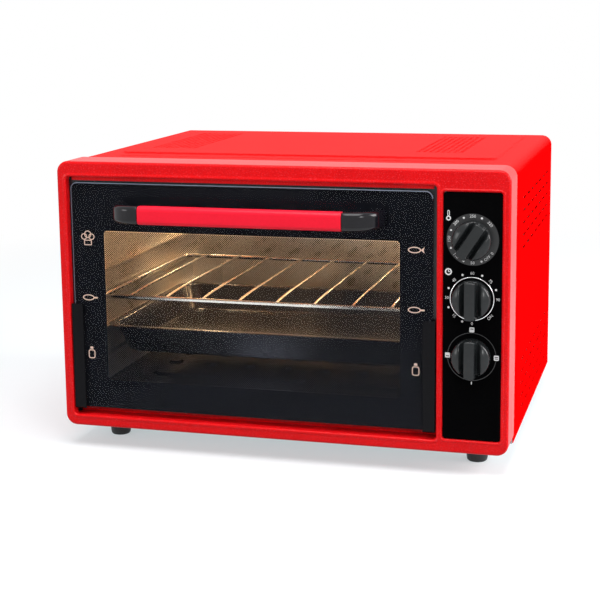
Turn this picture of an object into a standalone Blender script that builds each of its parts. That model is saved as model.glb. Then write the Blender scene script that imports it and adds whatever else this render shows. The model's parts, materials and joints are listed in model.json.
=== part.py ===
"""Electric counter-top oven, built as an assembly of separate named pieces.

Metres, +Z up, with the front towards -Y. Every piece is drawn in the body's frame: x from the
middle of the body, y back from its front face and z up from its underside. The world's origin
lies on the ground, under the middle of the whole object.
"""

import math

import bmesh
import bpy
from mathutils import Vector

# Body
BODY_WIDTH = 0.500
BODY_DEPTH = 0.400
BODY_HEIGHT = 0.300
SHEET = 0.0008
PANEL_SHEET = 0.0008
SEAT_GAP = 0.0003
OVERRUN = 0.004
CORNER_STEPS = 4
ROUND_SIDES = 16
SMALL_SIDES = 10

# Front frame
FRAME_DEPTH = 0.046
FRAME_WALL = 0.003
FRAME_CORNER = 0.0125
FRAME_EDGE_ROUND = 0.003
FRAME_EDGE_STEPS = 3
LIP_WALL = 0.0025
LEFT_BEZEL = 0.011
RIGHT_BEZEL = 0.0085
TOP_BEZEL = 0.017
BOTTOM_BEZEL = 0.013
OPENING_CORNER = 0.004
POST_WIDTH = 0.0065
PANEL_OPENING_WIDTH = 0.061
PANEL_BEZEL_TOP = 0.023
PANEL_BEZEL_BOTTOM = 0.015
PANEL_CORNER = 0.003
FACE_PLATE_DEPTH = 0.0086

# Shell
SHELL_INSET = 0.0006
SHELL_CORNER = 0.012
REAR_FOLD = 0.012
STAMP_RISE = 0.0012
STAMP_FRONT = 0.110
STAMP_REAR_MARGIN = 0.030
STAMP_SIDE_MARGIN = 0.029
STAMP_CORNER = 0.010
SLOT_END_STEPS = 1
SIDE_SLOT_LENGTH = 0.024
SIDE_SLOT_WIDTH = 0.0035
SIDE_SLOT_COLUMNS = 7
SIDE_SLOT_ROWS = 5
SIDE_SLOT_ROW_PITCH = 0.0137
SIDE_SLOT_FRONT = 0.121
SIDE_SLOT_REAR_MARGIN = 0.051
SIDE_SLOT_TOP_MARGIN = 0.043
SIDE_SLOT_BOTTOM_MARGIN = 0.0215
TOP_VENT_WIDTH = 0.056
TOP_VENT_FRONT = 0.163
TOP_VENT_REAR_MARGIN = 0.055
TOP_VENT_LEFT_MARGIN = 0.049
TOP_VENT_RIGHT_MARGIN = 0.075
TOP_SLOT_WIDTH = 0.005
TOP_SLOT_ROWS = 17
TOP_SLOT_GAP = 0.004

# Rear panel and base
REAR_SLOT_LENGTH = 0.030
REAR_SLOT_WIDTH = 0.004
REAR_SLOT_COLUMNS = 6
REAR_SLOT_ROWS = 4
REAR_SLOT_ROW_PITCH = 0.014
REAR_SLOT_TOP_MARGIN = 0.045
REAR_SLOT_SIDE_MARGIN = 0.070
BASE_FOLD = 0.014
BASE_SLOT_LENGTH = 0.040
BASE_SLOT_WIDTH = 0.005
BASE_SLOT_COLUMNS = 5
BASE_SLOT_ROWS = 3
BASE_SLOT_ROW_PITCH = 0.030
BASE_SLOT_SIDE_MARGIN = 0.090

# Screws
SCREW_CLEARANCE = 0.0004
SCREW_CROWN_SHARE = 0.7
SCREW_EDGE_SHARE = 0.6

# Cavity
CAVITY_SIDE_MARGIN = 0.0165
CAVITY_FLOOR_MARGIN = 0.027
CAVITY_ROOF_MARGIN = 0.025
CAVITY_REAR_SPACE = 0.047
FACE_PLATE_MARGIN = 0.005
JOGGLE_DEPTH = 0.0142
JOGGLE_DROP = 0.007
RAIL_COUNT = 4
RAIL_PITCH = 0.0335
RAIL_FIRST = 0.0322
RAIL_REACH = 0.008
RAIL_FLAT = 0.002
RAIL_SLOPE_DROP = 0.007
STAMP_FIELD_MARGIN = 0.040
STAMP_FIELD_CORNER = 0.014
STAMP_FIELD_RISE = 0.003
OVAL_COUNT = 3
OVAL_GAP = 0.021
OVAL_WIDTH = 0.024
OVAL_RISE = 0.0022
OVAL_DEPTH_SHARE = 0.26
DIMPLE_PITCH = 0.0466
DIMPLE_RADIUS = 0.010
DIMPLE_DEPTH_SHARES = (0.41, 0.55, 0.69, 0.83)
EMBOSS_SIDE_MARGIN = 0.040
EMBOSS_SLOPE_SHARE = 0.3
EMBOSS_END_STEPS = 3

# Heaters
HEATER_RADIUS = 0.0033
HEATER_PIN_RADIUS = 0.0015
HEATER_PIN_LENGTH = 0.005
HEATER_STANDOUT = 0.005
HEATER_HOLE_CLEARANCE = 0.0008
HEATER_BEND_RADIUS = 0.018
HEATER_BEND_STEPS = 3
HEATER_END_SPACING = 0.070
HEATER_SPREAD_SHARE = 0.66
HEATER_SIDE_SPACE = 0.026
HEATER_NECK = 0.042
UPPER_HEATER_DROP = 0.012
LOWER_HEATER_DROP = 0.012
HEATER_PLATE_THICKNESS = 0.0015
HEATER_PLATE_MARGIN = 0.012
HEATER_PLATE_HEIGHT = 0.018
HEATER_HOOK_SHEET = 0.0012
HEATER_HOOK_WIDTH = 0.008
HEATER_HOOK_FOOT = 0.008

# Lamp in the right cavity wall
LAMP_WINDOW_WIDTH = 0.048
LAMP_WINDOW_HEIGHT = 0.038
LAMP_DEPTH_SHARE = 0.70
LAMP_DROP = 0.050
LAMP_LEDGE = 0.002
LAMP_LENS_THICKNESS = 0.003
LAMP_HOLDER_WALL = 0.0012
LAMP_HOLDER_RIM = 0.004
LAMP_BULB_RADIUS = 0.0048
LAMP_BULB_LENGTH = 0.026
LAMP_SHOULDER_SHARE = 0.7
LAMP_TIP_SHARE = 0.25
LAMP_SOCKET_LENGTH = 0.014
LAMP_SOCKET_HEIGHT = 0.016

# Heat shield and the controls' bracket
SHIELD_SPACE = 0.017
SHIELD_FRONT = 0.064
SHIELD_REAR_MARGIN = 0.006
SHIELD_TOP_MARGIN = 0.012
BRACKET_MARGIN = 0.003
BRACKET_FOLD = 0.052

# Control panel
PANEL_CLEARANCE = 0.0004
PANEL_RECESS = 0.0012
PANEL_THICKNESS = 0.003
PANEL_BOSS_RADIUS = 0.004
PANEL_BOSS_MARGIN = 0.0055

# Knobs and the controls behind them
KNOB_TOP_MARGIN = 0.049
KNOB_PITCH = 0.0615
KNOB_RADIUS = 0.020
KNOB_HEIGHT = 0.020
KNOB_LIFT = 0.0005
KNOB_SKIRT_SHARE = 0.45
KNOB_CROWN_SHARE = 0.38
KNOB_DOME_STEPS = 4
KNOB_SIDES = 24
KNOB_GRIP_WIDTH = 0.0115
KNOB_GROOVE_DEPTH = 0.010
KNOB_GROOVE_FLOOR = 0.003
KNOB_GROOVE_FLARE = 0.0045
KNOB_SOCKET_DEPTH = 0.011
SHAFT_RADIUS = 0.003
SHAFT_BITE = 0.004
THERMOSTAT_TURN = math.radians(33)
NECK_RADIUS = 0.005
NECK_REACH = 0.0035
RING_CLEARANCE = 0.0018
RING_WIDTH = 0.0013
RING_HEIGHT = 0.0015
THERMOSTAT_SIZE = (0.034, 0.028, 0.038)
TIMER_SIZE = (0.046, 0.034, 0.046)
SELECTOR_SIZE = (0.034, 0.030, 0.034)
BELL_RADIUS = 0.021
BELL_HEIGHT = 0.011
BELL_WALL = 0.0012
BELL_STEM_RADIUS = 0.003
BELL_CROWN_SHARE = 0.8
BELL_RIM_SHARE = 0.33

# Sensing bulb of the thermostat
CAPILLARY_RADIUS = 0.0009
CAPILLARY_BEND = 0.006
BULB_RADIUS = 0.0032
BULB_LENGTH = 0.080
BULB_WALL_SPACE = 0.007
BULB_DROP = 0.022
CAPILLARY_HOLE_RADIUS = 0.0035
CAPILLARY_MARGIN = 0.0147
CLIP_WALL = 0.001
CLIP_WIDTH = 0.005
CLIP_SHARE = 0.5

# Terminal block, cord bushing and wires
TERMINAL_SIZE = (0.016, 0.036, 0.014)
TERMINAL_SPREAD_SHARE = 0.33
TERMINAL_DROP_SHARE = 0.25
TERMINAL_REAR_MARGIN = 0.020
TERMINAL_HEIGHT = 0.060
BUSHING_FLANGE_RADIUS = 0.009
BUSHING_FLANGE_HEIGHT = 0.0025
BUSHING_NECK_RADIUS = 0.0065
BUSHING_BORE_RADIUS = 0.004
BUSHING_SIDE_MARGIN = 0.035
BUSHING_HEIGHT = 0.045
WIRE_RADIUS = 0.0013
WIRE_LEAD = 0.075
WIRE_TIP = 0.004

# Door
DOOR_SIDE_CLEARANCE = 0.004
DOOR_TOP_CLEARANCE = 0.006
DOOR_BOTTOM_CLEARANCE = 0.0075
DOOR_RECESS = 0.002
GLASS_THICKNESS = 0.004
GLASS_CORNER = 0.008
GLASS_BEVEL = 0.001
HINGE_DEPTH = 0.011
HINGE_HEIGHT = 0.026
HINGE_PIN_RADIUS = 0.0019
HINGE_PIN_CLEARANCE = 0.0004
HINGE_BOSS_RADIUS = 0.0045
HINGE_BOSS_LENGTH = 0.008
HINGE_TAB_THICKNESS = 0.002
HINGE_TAB_RADIUS = 0.0042
DOOR_BRACKET_SHEET = 0.0015
DOOR_BRACKET_WEB = 0.0022
DOOR_BRACKET_LIP = 0.0105
DOOR_BRACKET_TOP = 0.1405
DOOR_BRACKET_BOTTOM = 0.020
DOOR_BRACKET_BACK_START = 0.038
DOOR_BRACKET_CHAMFER = 0.0015

# Handle
HANDLE_REACH = 0.038
HANDLE_DEPTH = 0.014
HANDLE_HEIGHT = 0.020
HANDLE_SIDE_MARGIN = 0.0515
HANDLE_SHIFT = 0.003
HANDLE_END_LENGTH = 0.0395
HANDLE_TOP_MARGIN = 0.0294
HANDLE_SIDES = 16
HANDLE_SQUARENESS = 0.65
HANDLE_BEND_RADIUS = 0.026
HANDLE_BEND_STEPS = 6
HANDLE_SCREW_RADIUS = 0.002
HANDLE_HEAD_RADIUS = 0.004
HANDLE_HEAD_HEIGHT = 0.002
HANDLE_SCREW_BITE = 0.009

# Rack and tray
RACK_SIDE_GAP = 0.0025
RACK_FRONT = 0.040
RACK_DEPTH = 0.268
RACK_FRAME_RADIUS = 0.0025
RACK_WIRE_RADIUS = 0.0017
RACK_FRAME_SIDES = 8
RACK_WIRE_SIDES = 6
RACK_WIRE_COUNT = 8
RACK_WIRE_MARGIN = 0.0345
RACK_CORNER = 0.012
RACK_RAIL_LEVEL = 2
TRAY_RAIL_LEVEL = 1
TRAY_FRONT = 0.042
TRAY_DEPTH = 0.264
TRAY_SIDE_GAP = 0.003
TRAY_LIP = 0.010
TRAY_HEIGHT = 0.033
TRAY_DRAFT = 0.009
TRAY_WALL = 0.001
TRAY_CORNER = 0.022

# Feet
FOOT_HEIGHT = 0.025
FOOT_TOP_RADIUS = 0.0135
FOOT_BOTTOM_RADIUS = 0.011
FOOT_SIDE_MARGIN = 0.041
FOOT_DEPTH_MARGIN = 0.060
FOOT_RECESS_RADIUS = 0.0056
FOOT_RECESS_DEPTH = 0.016
FOOT_SCREW_RADIUS = 0.002
FOOT_HEAD_RADIUS = 0.0042
FOOT_HEAD_HEIGHT = 0.003
FOOT_SCREW_LENGTH = 0.015

# Finishes: colour, roughness and metallic value
FINISHES = {
    "red_enamel": ((0.80, 0.004, 0.006), 0.35, 0.0),
    "red_gloss": ((0.85, 0.006, 0.012), 0.20, 0.0),
    "black_glass": ((0.008, 0.009, 0.011), 0.05, 0.0),
    "black_plastic": ((0.012, 0.012, 0.013), 0.30, 0.0),
    "black_enamel": ((0.010, 0.010, 0.012), 0.25, 0.0),
    "black_rubber": ((0.010, 0.010, 0.010), 0.70, 0.0),
    "zinc_sheet": ((0.55, 0.55, 0.54), 0.40, 1.0),
    "cavity_steel": ((0.60, 0.57, 0.52), 0.32, 1.0),
    "chrome": ((0.80, 0.80, 0.80), 0.12, 1.0),
    "heater_sheath": ((0.20, 0.19, 0.18), 0.45, 1.0),
    "ceramic": ((0.85, 0.83, 0.78), 0.45, 0.0),
    "clear_glass": ((0.90, 0.90, 0.88), 0.08, 0.0),
    "copper": ((0.70, 0.35, 0.20), 0.30, 1.0),
    "wire_cover": ((0.75, 0.72, 0.60), 0.60, 0.0),
    "pale_plastic": ((0.70, 0.68, 0.62), 0.50, 0.0),
}

# Planes and spans that several pieces share
HALF_WIDTH = BODY_WIDTH / 2
DOOR_OPENING_LEFT = -HALF_WIDTH + LEFT_BEZEL
PANEL_OPENING_RIGHT = HALF_WIDTH - RIGHT_BEZEL
PANEL_OPENING_LEFT = PANEL_OPENING_RIGHT - PANEL_OPENING_WIDTH
DOOR_OPENING_RIGHT = PANEL_OPENING_LEFT - POST_WIDTH
DOOR_OPENING_TOP = BODY_HEIGHT - TOP_BEZEL
PANEL_OPENING_TOP = BODY_HEIGHT - PANEL_BEZEL_TOP
DOOR_CENTRE = (DOOR_OPENING_LEFT + DOOR_OPENING_RIGHT) / 2
SHELL_FRONT = FRAME_DEPTH + SEAT_GAP
REAR_PLATE_FRONT = BODY_DEPTH - PANEL_SHEET
SHELL_REAR = REAR_PLATE_FRONT - SEAT_GAP
SHELL_HALF = HALF_WIDTH - SHELL_INSET
SHELL_TOP = BODY_HEIGHT - SHELL_INSET - STAMP_RISE
SHELL_BOTTOM = PANEL_SHEET + SEAT_GAP
REAR_REACH = BODY_DEPTH + SEAT_GAP + BUSHING_FLANGE_HEIGHT
CAVITY_LEFT = DOOR_OPENING_LEFT + CAVITY_SIDE_MARGIN
CAVITY_RIGHT = DOOR_OPENING_RIGHT - CAVITY_SIDE_MARGIN
CAVITY_FLOOR = BOTTOM_BEZEL + CAVITY_FLOOR_MARGIN
CAVITY_ROOF = DOOR_OPENING_TOP - CAVITY_ROOF_MARGIN
CAVITY_FRONT = FACE_PLATE_DEPTH + PANEL_SHEET + SEAT_GAP
CAVITY_BACK = BODY_DEPTH - CAVITY_REAR_SPACE
CAVITY_LENGTH = CAVITY_BACK - CAVITY_FRONT
WALL_BOTTOM = FRAME_WALL + SEAT_GAP
SILL_PLATE_FRONT = FACE_PLATE_DEPTH + JOGGLE_DEPTH
SILL_TOP = CAVITY_FLOOR - JOGGLE_DROP
SHIELD_LEFT = CAVITY_RIGHT + SHEET + SHIELD_SPACE
BRACKET_LEFT = SHIELD_LEFT + SHEET + SEAT_GAP
BRACKET_BACK = FACE_PLATE_DEPTH + PANEL_SHEET
CONTROL_FRONT = BRACKET_BACK + SEAT_GAP
PANEL_FRONT = PANEL_RECESS
PANEL_BACK = PANEL_FRONT + PANEL_THICKNESS
KNOB_X = (PANEL_OPENING_LEFT + PANEL_OPENING_RIGHT) / 2
THERMOSTAT_Z = PANEL_OPENING_TOP - KNOB_TOP_MARGIN
TIMER_Z = THERMOSTAT_Z - KNOB_PITCH
SELECTOR_Z = TIMER_Z - KNOB_PITCH
GLASS_LEFT = DOOR_OPENING_LEFT + DOOR_SIDE_CLEARANCE
GLASS_RIGHT = DOOR_OPENING_RIGHT - DOOR_SIDE_CLEARANCE
GLASS_TOP = DOOR_OPENING_TOP - DOOR_TOP_CLEARANCE
GLASS_BOTTOM = BOTTOM_BEZEL + DOOR_BOTTOM_CLEARANCE
GLASS_BACK = DOOR_RECESS + GLASS_THICKNESS
HANDLE_Z = GLASS_TOP - HANDLE_TOP_MARGIN
LAMP_Y = CAVITY_FRONT + CAVITY_LENGTH * LAMP_DEPTH_SHARE
LAMP_Z = CAVITY_ROOF - LAMP_DROP
CAPILLARY_Y = SHIELD_FRONT + CAPILLARY_MARGIN
BULB_Z = CAVITY_ROOF - BULB_DROP
BULB_X = CAVITY_RIGHT - BULB_WALL_SPACE

BODY_ORIGIN = Vector((0, (HANDLE_REACH - REAR_REACH) / 2, FOOT_HEIGHT))
ZERO = Vector((0, 0, 0))
HINGE_POINT = Vector((0, HINGE_DEPTH, HINGE_HEIGHT))
THERMOSTAT_POINT = Vector((KNOB_X, 0, THERMOSTAT_Z))
TIMER_POINT = Vector((KNOB_X, 0, TIMER_Z))
SELECTOR_POINT = Vector((KNOB_X, 0, SELECTOR_Z))


def clear_scene():
    """Remove every object of the open scene."""
    for obj in list(bpy.data.objects):
        bpy.data.objects.remove(obj)


def make_material(name, finish):
    """Make a Principled material of one finish for one piece."""
    colour, roughness, metallic = FINISHES[finish]
    material = bpy.data.materials.new(name)
    material.use_nodes = True
    shader = material.node_tree.nodes["Principled BSDF"]
    shader.inputs["Base Color"].default_value = (*colour, 1.0)
    shader.inputs["Roughness"].default_value = roughness
    shader.inputs["Metallic"].default_value = metallic
    material.diffuse_color = (*colour, 1.0)
    return material


def make_object(name, bm, pivot=ZERO, turn=0.0):
    """Turn a mesh in the body's frame into an object whose origin is the pivot."""
    bmesh.ops.recalc_face_normals(bm, faces=bm.faces)
    bmesh.ops.translate(bm, vec=-pivot, verts=bm.verts)
    mesh = bpy.data.meshes.new(name)
    bm.to_mesh(mesh)
    bm.free()
    mesh.shade_smooth()
    mesh.set_sharp_from_angle(angle=math.radians(35))
    obj = bpy.data.objects.new(name, mesh)
    bpy.context.scene.collection.objects.link(obj)
    obj.location = BODY_ORIGIN + pivot
    obj.rotation_euler.y = turn
    return obj


def make_piece(name, bm, finish, pivot=ZERO, turn=0.0):
    """Make one named piece with its own material."""
    obj = make_object(name, bm, pivot, turn)
    obj.data.materials.append(make_material(name, finish))
    return obj


def apply_tool(target, bm, operation="DIFFERENCE", pivot=ZERO, turn=0.0):
    """Cut a piece with a hidden tool, or join the tool to it."""
    count = len(target.modifiers)
    tool = make_object(f"{target.name}_tool_{count}", bm, pivot, turn)
    tool.hide_render = True
    tool.display_type = "WIRE"
    modifier = target.modifiers.new(f"{operation.title()} {count}", "BOOLEAN")
    modifier.operation = operation
    modifier.solver = "EXACT"
    modifier.object = tool


def spread(low, high, count):
    """Even places from low to high, both included."""
    return [low + (high - low) * step / (count - 1) for step in range(count)]


def spatial(axis, a, b, along):
    """A point from its place across an axis and along it."""
    return {"X": (along, a, b), "Y": (a, along, b), "Z": (a, b, along)}[axis]


def rounded_rect(span_a, span_b, radius, steps=CORNER_STEPS):
    """Outline of a rectangle with round corners."""
    corners = (
        (span_a[1] - radius, span_b[0] + radius, -90),
        (span_a[1] - radius, span_b[1] - radius, 0),
        (span_a[0] + radius, span_b[1] - radius, 90),
        (span_a[0] + radius, span_b[0] + radius, 180),
    )
    outline = []
    for a, b, start in corners:
        for step in range(steps + 1):
            angle = math.radians(start + 90 * step / steps)
            outline.append((a + radius * math.cos(angle), b + radius * math.sin(angle)))
    return outline


def slot_outline(centre, length, width, steps=SLOT_END_STEPS):
    """Outline of a slot with round ends, long in its first direction."""
    radius = width / 2
    reach = length / 2 - radius
    outline = []
    for side, start in ((1, -90), (-1, 90)):
        for step in range(steps + 1):
            angle = math.radians(start + 180 * step / steps)
            a = centre[0] + side * reach + radius * math.cos(angle)
            outline.append((a, centre[1] + radius * math.sin(angle)))
    return outline


def add_loft(bm, rings, closed=False):
    """Skin rings of points one after another, with flat ends unless the loft is closed."""
    loops = [[bm.verts.new(point) for point in ring] for ring in rings]
    pairs = list(zip(loops, loops[1:]))
    if closed:
        pairs.append((loops[-1], loops[0]))
    for low, high in pairs:
        for index in range(len(low)):
            following = (index + 1) % len(low)
            bm.faces.new((low[index], low[following], high[following], high[index]))
    if not closed:
        bm.faces.new(loops[0])
        bm.faces.new(loops[-1])


def add_prism(bm, outline, axis, span):
    """Extrude a flat outline along an axis."""
    add_loft(bm, [[spatial(axis, a, b, along) for a, b in outline] for along in span])


def add_box(bm, span_x, span_y, span_z):
    """Add a box from its three spans."""
    outline = ((span_x[0], span_y[0]), (span_x[1], span_y[0]), (span_x[1], span_y[1]), (span_x[0], span_y[1]))
    add_prism(bm, outline, "Z", span_z)


def centred(middle, size):
    """Span of a size about its middle."""
    return (middle - size / 2, middle + size / 2)


def add_turned(bm, axis, centre, profile, sides=ROUND_SIDES, closed=False):
    """Turn a profile of radius and place about an axis. A closed profile leaves a bore."""
    rings = []
    for radius, along in profile:
        ring = []
        for side in range(sides):
            angle = 2 * math.pi * side / sides
            a = centre[0] + radius * math.cos(angle)
            ring.append(spatial(axis, a, centre[1] + radius * math.sin(angle), along))
        rings.append(ring)
    add_loft(bm, rings, closed)


def add_cylinder(bm, axis, centre, radius, span, sides=ROUND_SIDES):
    """Add a plain cylinder."""
    add_turned(bm, axis, centre, [(radius, span[0]), (radius, span[1])], sides)


def add_screw(bm, axis, centre, seat, facing, head, shank):
    """Add a pan-head screw. The head rises from its seat in the facing direction."""
    head_radius, head_height = head
    shank_radius, shank_length = shank
    profile = [
        (head_radius * SCREW_CROWN_SHARE, seat + facing * head_height),
        (head_radius, seat + facing * head_height * SCREW_EDGE_SHARE),
        (head_radius, seat),
        (shank_radius, seat),
        (shank_radius, seat - facing * shank_length),
    ]
    add_turned(bm, axis, centre, profile, SMALL_SIDES)


def add_frustum(bm, axis, span_a, span_b, corner, levels, slope):
    """Add a raised field whose sides slope in from its foot to its top."""
    rings = []
    for level, inset in ((levels[0], 0), (levels[1], slope)):
        outline = rounded_rect(
            (span_a[0] + inset, span_a[1] - inset), (span_b[0] + inset, span_b[1] - inset), corner
        )
        rings.append([spatial(axis, a, b, level) for a, b in outline])
    add_loft(bm, rings)


def stamp_field(target, axis, spans, corner, face, sheet, rise):
    """Stamp a raised field into a sheet: a boss on its face and a pocket behind it."""
    span_a, span_b = spans
    facing = math.copysign(1, rise)
    boss = bmesh.new()
    add_frustum(boss, axis, span_a, span_b, corner, (face - facing * sheet / 2, face + rise), abs(rise))
    apply_tool(target, boss, "UNION")
    pocket = bmesh.new()
    back = face - facing * sheet
    inner_a = (span_a[0] + sheet, span_a[1] - sheet)
    inner_b = (span_b[0] + sheet, span_b[1] - sheet)
    levels = (back - facing * OVERRUN, back + rise)
    add_frustum(pocket, axis, inner_a, inner_b, corner - sheet / 2, levels, abs(rise))
    apply_tool(target, pocket)


def add_slots(bm, axis, places, size, span):
    """Add one slot-shaped tool for each place."""
    for centre in places:
        add_prism(bm, slot_outline(centre, *size), axis, span)


# Front frame


def front_frame():
    """Moulded frame with the door's and the panel's openings and their lips."""
    bm = bmesh.new()
    rings = []
    for level, inset in [(FRAME_DEPTH, 0)] + [
        (
            FRAME_EDGE_ROUND * (1 - math.sin(step / FRAME_EDGE_STEPS * math.pi / 2)),
            FRAME_EDGE_ROUND * (1 - math.cos(step / FRAME_EDGE_STEPS * math.pi / 2)),
        )
        for step in range(FRAME_EDGE_STEPS + 1)
    ]:
        outline = rounded_rect(
            (-HALF_WIDTH + inset, HALF_WIDTH - inset), (inset, BODY_HEIGHT - inset), FRAME_CORNER - inset
        )
        rings.append([spatial("Y", a, b, level) for a, b in outline])
    add_loft(bm, rings)
    frame = make_piece("front_frame", bm, "red_gloss")
    hollow = bmesh.new()
    outline = rounded_rect(
        (-HALF_WIDTH + FRAME_WALL, HALF_WIDTH - FRAME_WALL),
        (FRAME_WALL, BODY_HEIGHT - FRAME_WALL),
        FRAME_CORNER - FRAME_WALL,
    )
    add_prism(hollow, outline, "Y", (FRAME_WALL, FRAME_DEPTH + OVERRUN))
    apply_tool(frame, hollow)
    apply_tool(frame, frame_lips(), "UNION")
    apply_tool(frame, frame_sill(), "UNION")
    openings = bmesh.new()
    through = (-OVERRUN, SILL_PLATE_FRONT + OVERRUN)
    for span_x, span_z, corner in frame_openings():
        add_prism(openings, rounded_rect(span_x, span_z, corner), "Y", through)
    apply_tool(frame, openings)


def frame_openings():
    """The spans and corner radius of the door's and the panel's openings."""
    door = ((DOOR_OPENING_LEFT, DOOR_OPENING_RIGHT), (BOTTOM_BEZEL, DOOR_OPENING_TOP), OPENING_CORNER)
    panel = ((PANEL_OPENING_LEFT, PANEL_OPENING_RIGHT), (PANEL_BEZEL_BOTTOM, PANEL_OPENING_TOP), PANEL_CORNER)
    return door, panel


def frame_lips():
    """Blocks that become the lips round both openings."""
    bm = bmesh.new()
    lip = (FRAME_WALL / 2, FACE_PLATE_DEPTH - SEAT_GAP)
    for span_x, span_z, corner in frame_openings():
        outline = rounded_rect(
            (span_x[0] - LIP_WALL, span_x[1] + LIP_WALL), (span_z[0] - LIP_WALL, span_z[1] + LIP_WALL), corner
        )
        add_prism(bm, outline, "Y", lip)
    return bm


def frame_sill():
    """Block that becomes the sill under the door."""
    bm = bmesh.new()
    sill_x = (DOOR_OPENING_LEFT + OPENING_CORNER, DOOR_OPENING_RIGHT - OPENING_CORNER)
    sill_y = (FACE_PLATE_DEPTH - SEAT_GAP - FRAME_WALL / 2, SILL_PLATE_FRONT - SEAT_GAP)
    add_box(bm, sill_x, sill_y, (BOTTOM_BEZEL - LIP_WALL, BOTTOM_BEZEL + LIP_WALL))
    return bm


# Outer shell


def shell_outline(inset):
    """Half-open wrap outline at an inset: up the left side, over the top and down the right."""
    radius = SHELL_CORNER - min(inset, SHELL_CORNER / 2)
    half = SHELL_HALF - inset
    top = SHELL_TOP - inset
    outline = [(-half, SHELL_BOTTOM)]
    for side, start in ((-1, 180), (1, 90)):
        for step in range(CORNER_STEPS + 1):
            angle = math.radians(start - 90 * step / CORNER_STEPS)
            a = side * (half - radius) + radius * math.cos(angle)
            outline.append((a, top - radius + radius * math.sin(angle)))
    outline.append((half, SHELL_BOTTOM))
    return outline


def outer_shell():
    """Wrap of sheet steel over the top and both sides, with a stamped top and vents."""
    bm = bmesh.new()
    outline = shell_outline(0) + shell_outline(SHEET)[::-1]
    add_prism(bm, outline, "Y", (SHELL_FRONT, SHELL_REAR))
    shell = make_piece("outer_shell", bm, "red_enamel")
    fold = bmesh.new()
    outline = shell_outline(SHEET / 2) + shell_outline(REAR_FOLD)[::-1]
    fold_rear = SHELL_REAR - SEAT_GAP
    add_prism(fold, outline, "Y", (fold_rear - SHEET, fold_rear))
    apply_tool(shell, fold, "UNION")
    field_x = (-SHELL_HALF + STAMP_SIDE_MARGIN, SHELL_HALF - STAMP_SIDE_MARGIN)
    field_y = (STAMP_FRONT, SHELL_REAR - STAMP_REAR_MARGIN)
    stamp_field(shell, "Z", (field_x, field_y), STAMP_CORNER, SHELL_TOP, SHEET, STAMP_RISE)
    apply_tool(shell, top_vents())
    apply_tool(shell, side_vents())


def top_vents():
    """Slots of the two vents in the top."""
    bm = bmesh.new()
    slot_length = (TOP_VENT_WIDTH - TOP_SLOT_GAP) / 2
    lefts = (-HALF_WIDTH + TOP_VENT_LEFT_MARGIN, HALF_WIDTH - TOP_VENT_RIGHT_MARGIN - TOP_VENT_WIDTH)
    rows = spread(TOP_VENT_FRONT, BODY_DEPTH - TOP_VENT_REAR_MARGIN, TOP_SLOT_ROWS)
    places = []
    for left in lefts:
        for column in (left + slot_length / 2, left + TOP_VENT_WIDTH - slot_length / 2):
            places += [(column, row) for row in rows]
    add_slots(bm, "Z", places, (slot_length, TOP_SLOT_WIDTH), around(SHELL_TOP))
    return bm


def side_vents():
    """Slots of the upper and lower vents, through both sides at once."""
    bm = bmesh.new()
    block = SIDE_SLOT_ROW_PITCH * (SIDE_SLOT_ROWS - 1)
    columns = spread(SIDE_SLOT_FRONT, BODY_DEPTH - SIDE_SLOT_REAR_MARGIN, SIDE_SLOT_COLUMNS)
    places = []
    for base in (SIDE_SLOT_BOTTOM_MARGIN, BODY_HEIGHT - SIDE_SLOT_TOP_MARGIN - block):
        for row in spread(base, base + block, SIDE_SLOT_ROWS):
            places += [(column, row) for column in columns]
    reach = SHELL_HALF + OVERRUN
    add_slots(bm, "X", places, (SIDE_SLOT_LENGTH, SIDE_SLOT_WIDTH), (-reach, reach))
    return bm


def around(place):
    """Span that overruns a sheet at a place on both sides."""
    return (place - OVERRUN, place + OVERRUN)


def hole_radius(screw_radius):
    """Clearance hole of a screw."""
    return screw_radius + SCREW_CLEARANCE


# Rear panel and base


def bushing_place():
    """Place across the rear of the cord's bushing."""
    return (HALF_WIDTH - BUSHING_SIDE_MARGIN, BUSHING_HEIGHT)


def back_panel():
    """Flat rear panel with vents and the bushing's hole."""
    bm = bmesh.new()
    add_prism(bm, shell_outline(0), "Y", (REAR_PLATE_FRONT, BODY_DEPTH))
    panel = make_piece("back_panel", bm, "zinc_sheet")
    cuts = bmesh.new()
    through = around(BODY_DEPTH)
    block = REAR_SLOT_ROW_PITCH * (REAR_SLOT_ROWS - 1)
    high = BODY_HEIGHT - REAR_SLOT_TOP_MARGIN
    reach = HALF_WIDTH - REAR_SLOT_SIDE_MARGIN
    places = []
    for row in spread(high - block, high, REAR_SLOT_ROWS):
        places += [(column, row) for column in spread(-reach, reach, REAR_SLOT_COLUMNS)]
    add_slots(cuts, "Y", places, (REAR_SLOT_LENGTH, REAR_SLOT_WIDTH), through)
    add_cylinder(cuts, "Y", bushing_place(), BUSHING_NECK_RADIUS + SEAT_GAP, through)
    apply_tool(panel, cuts)


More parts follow.
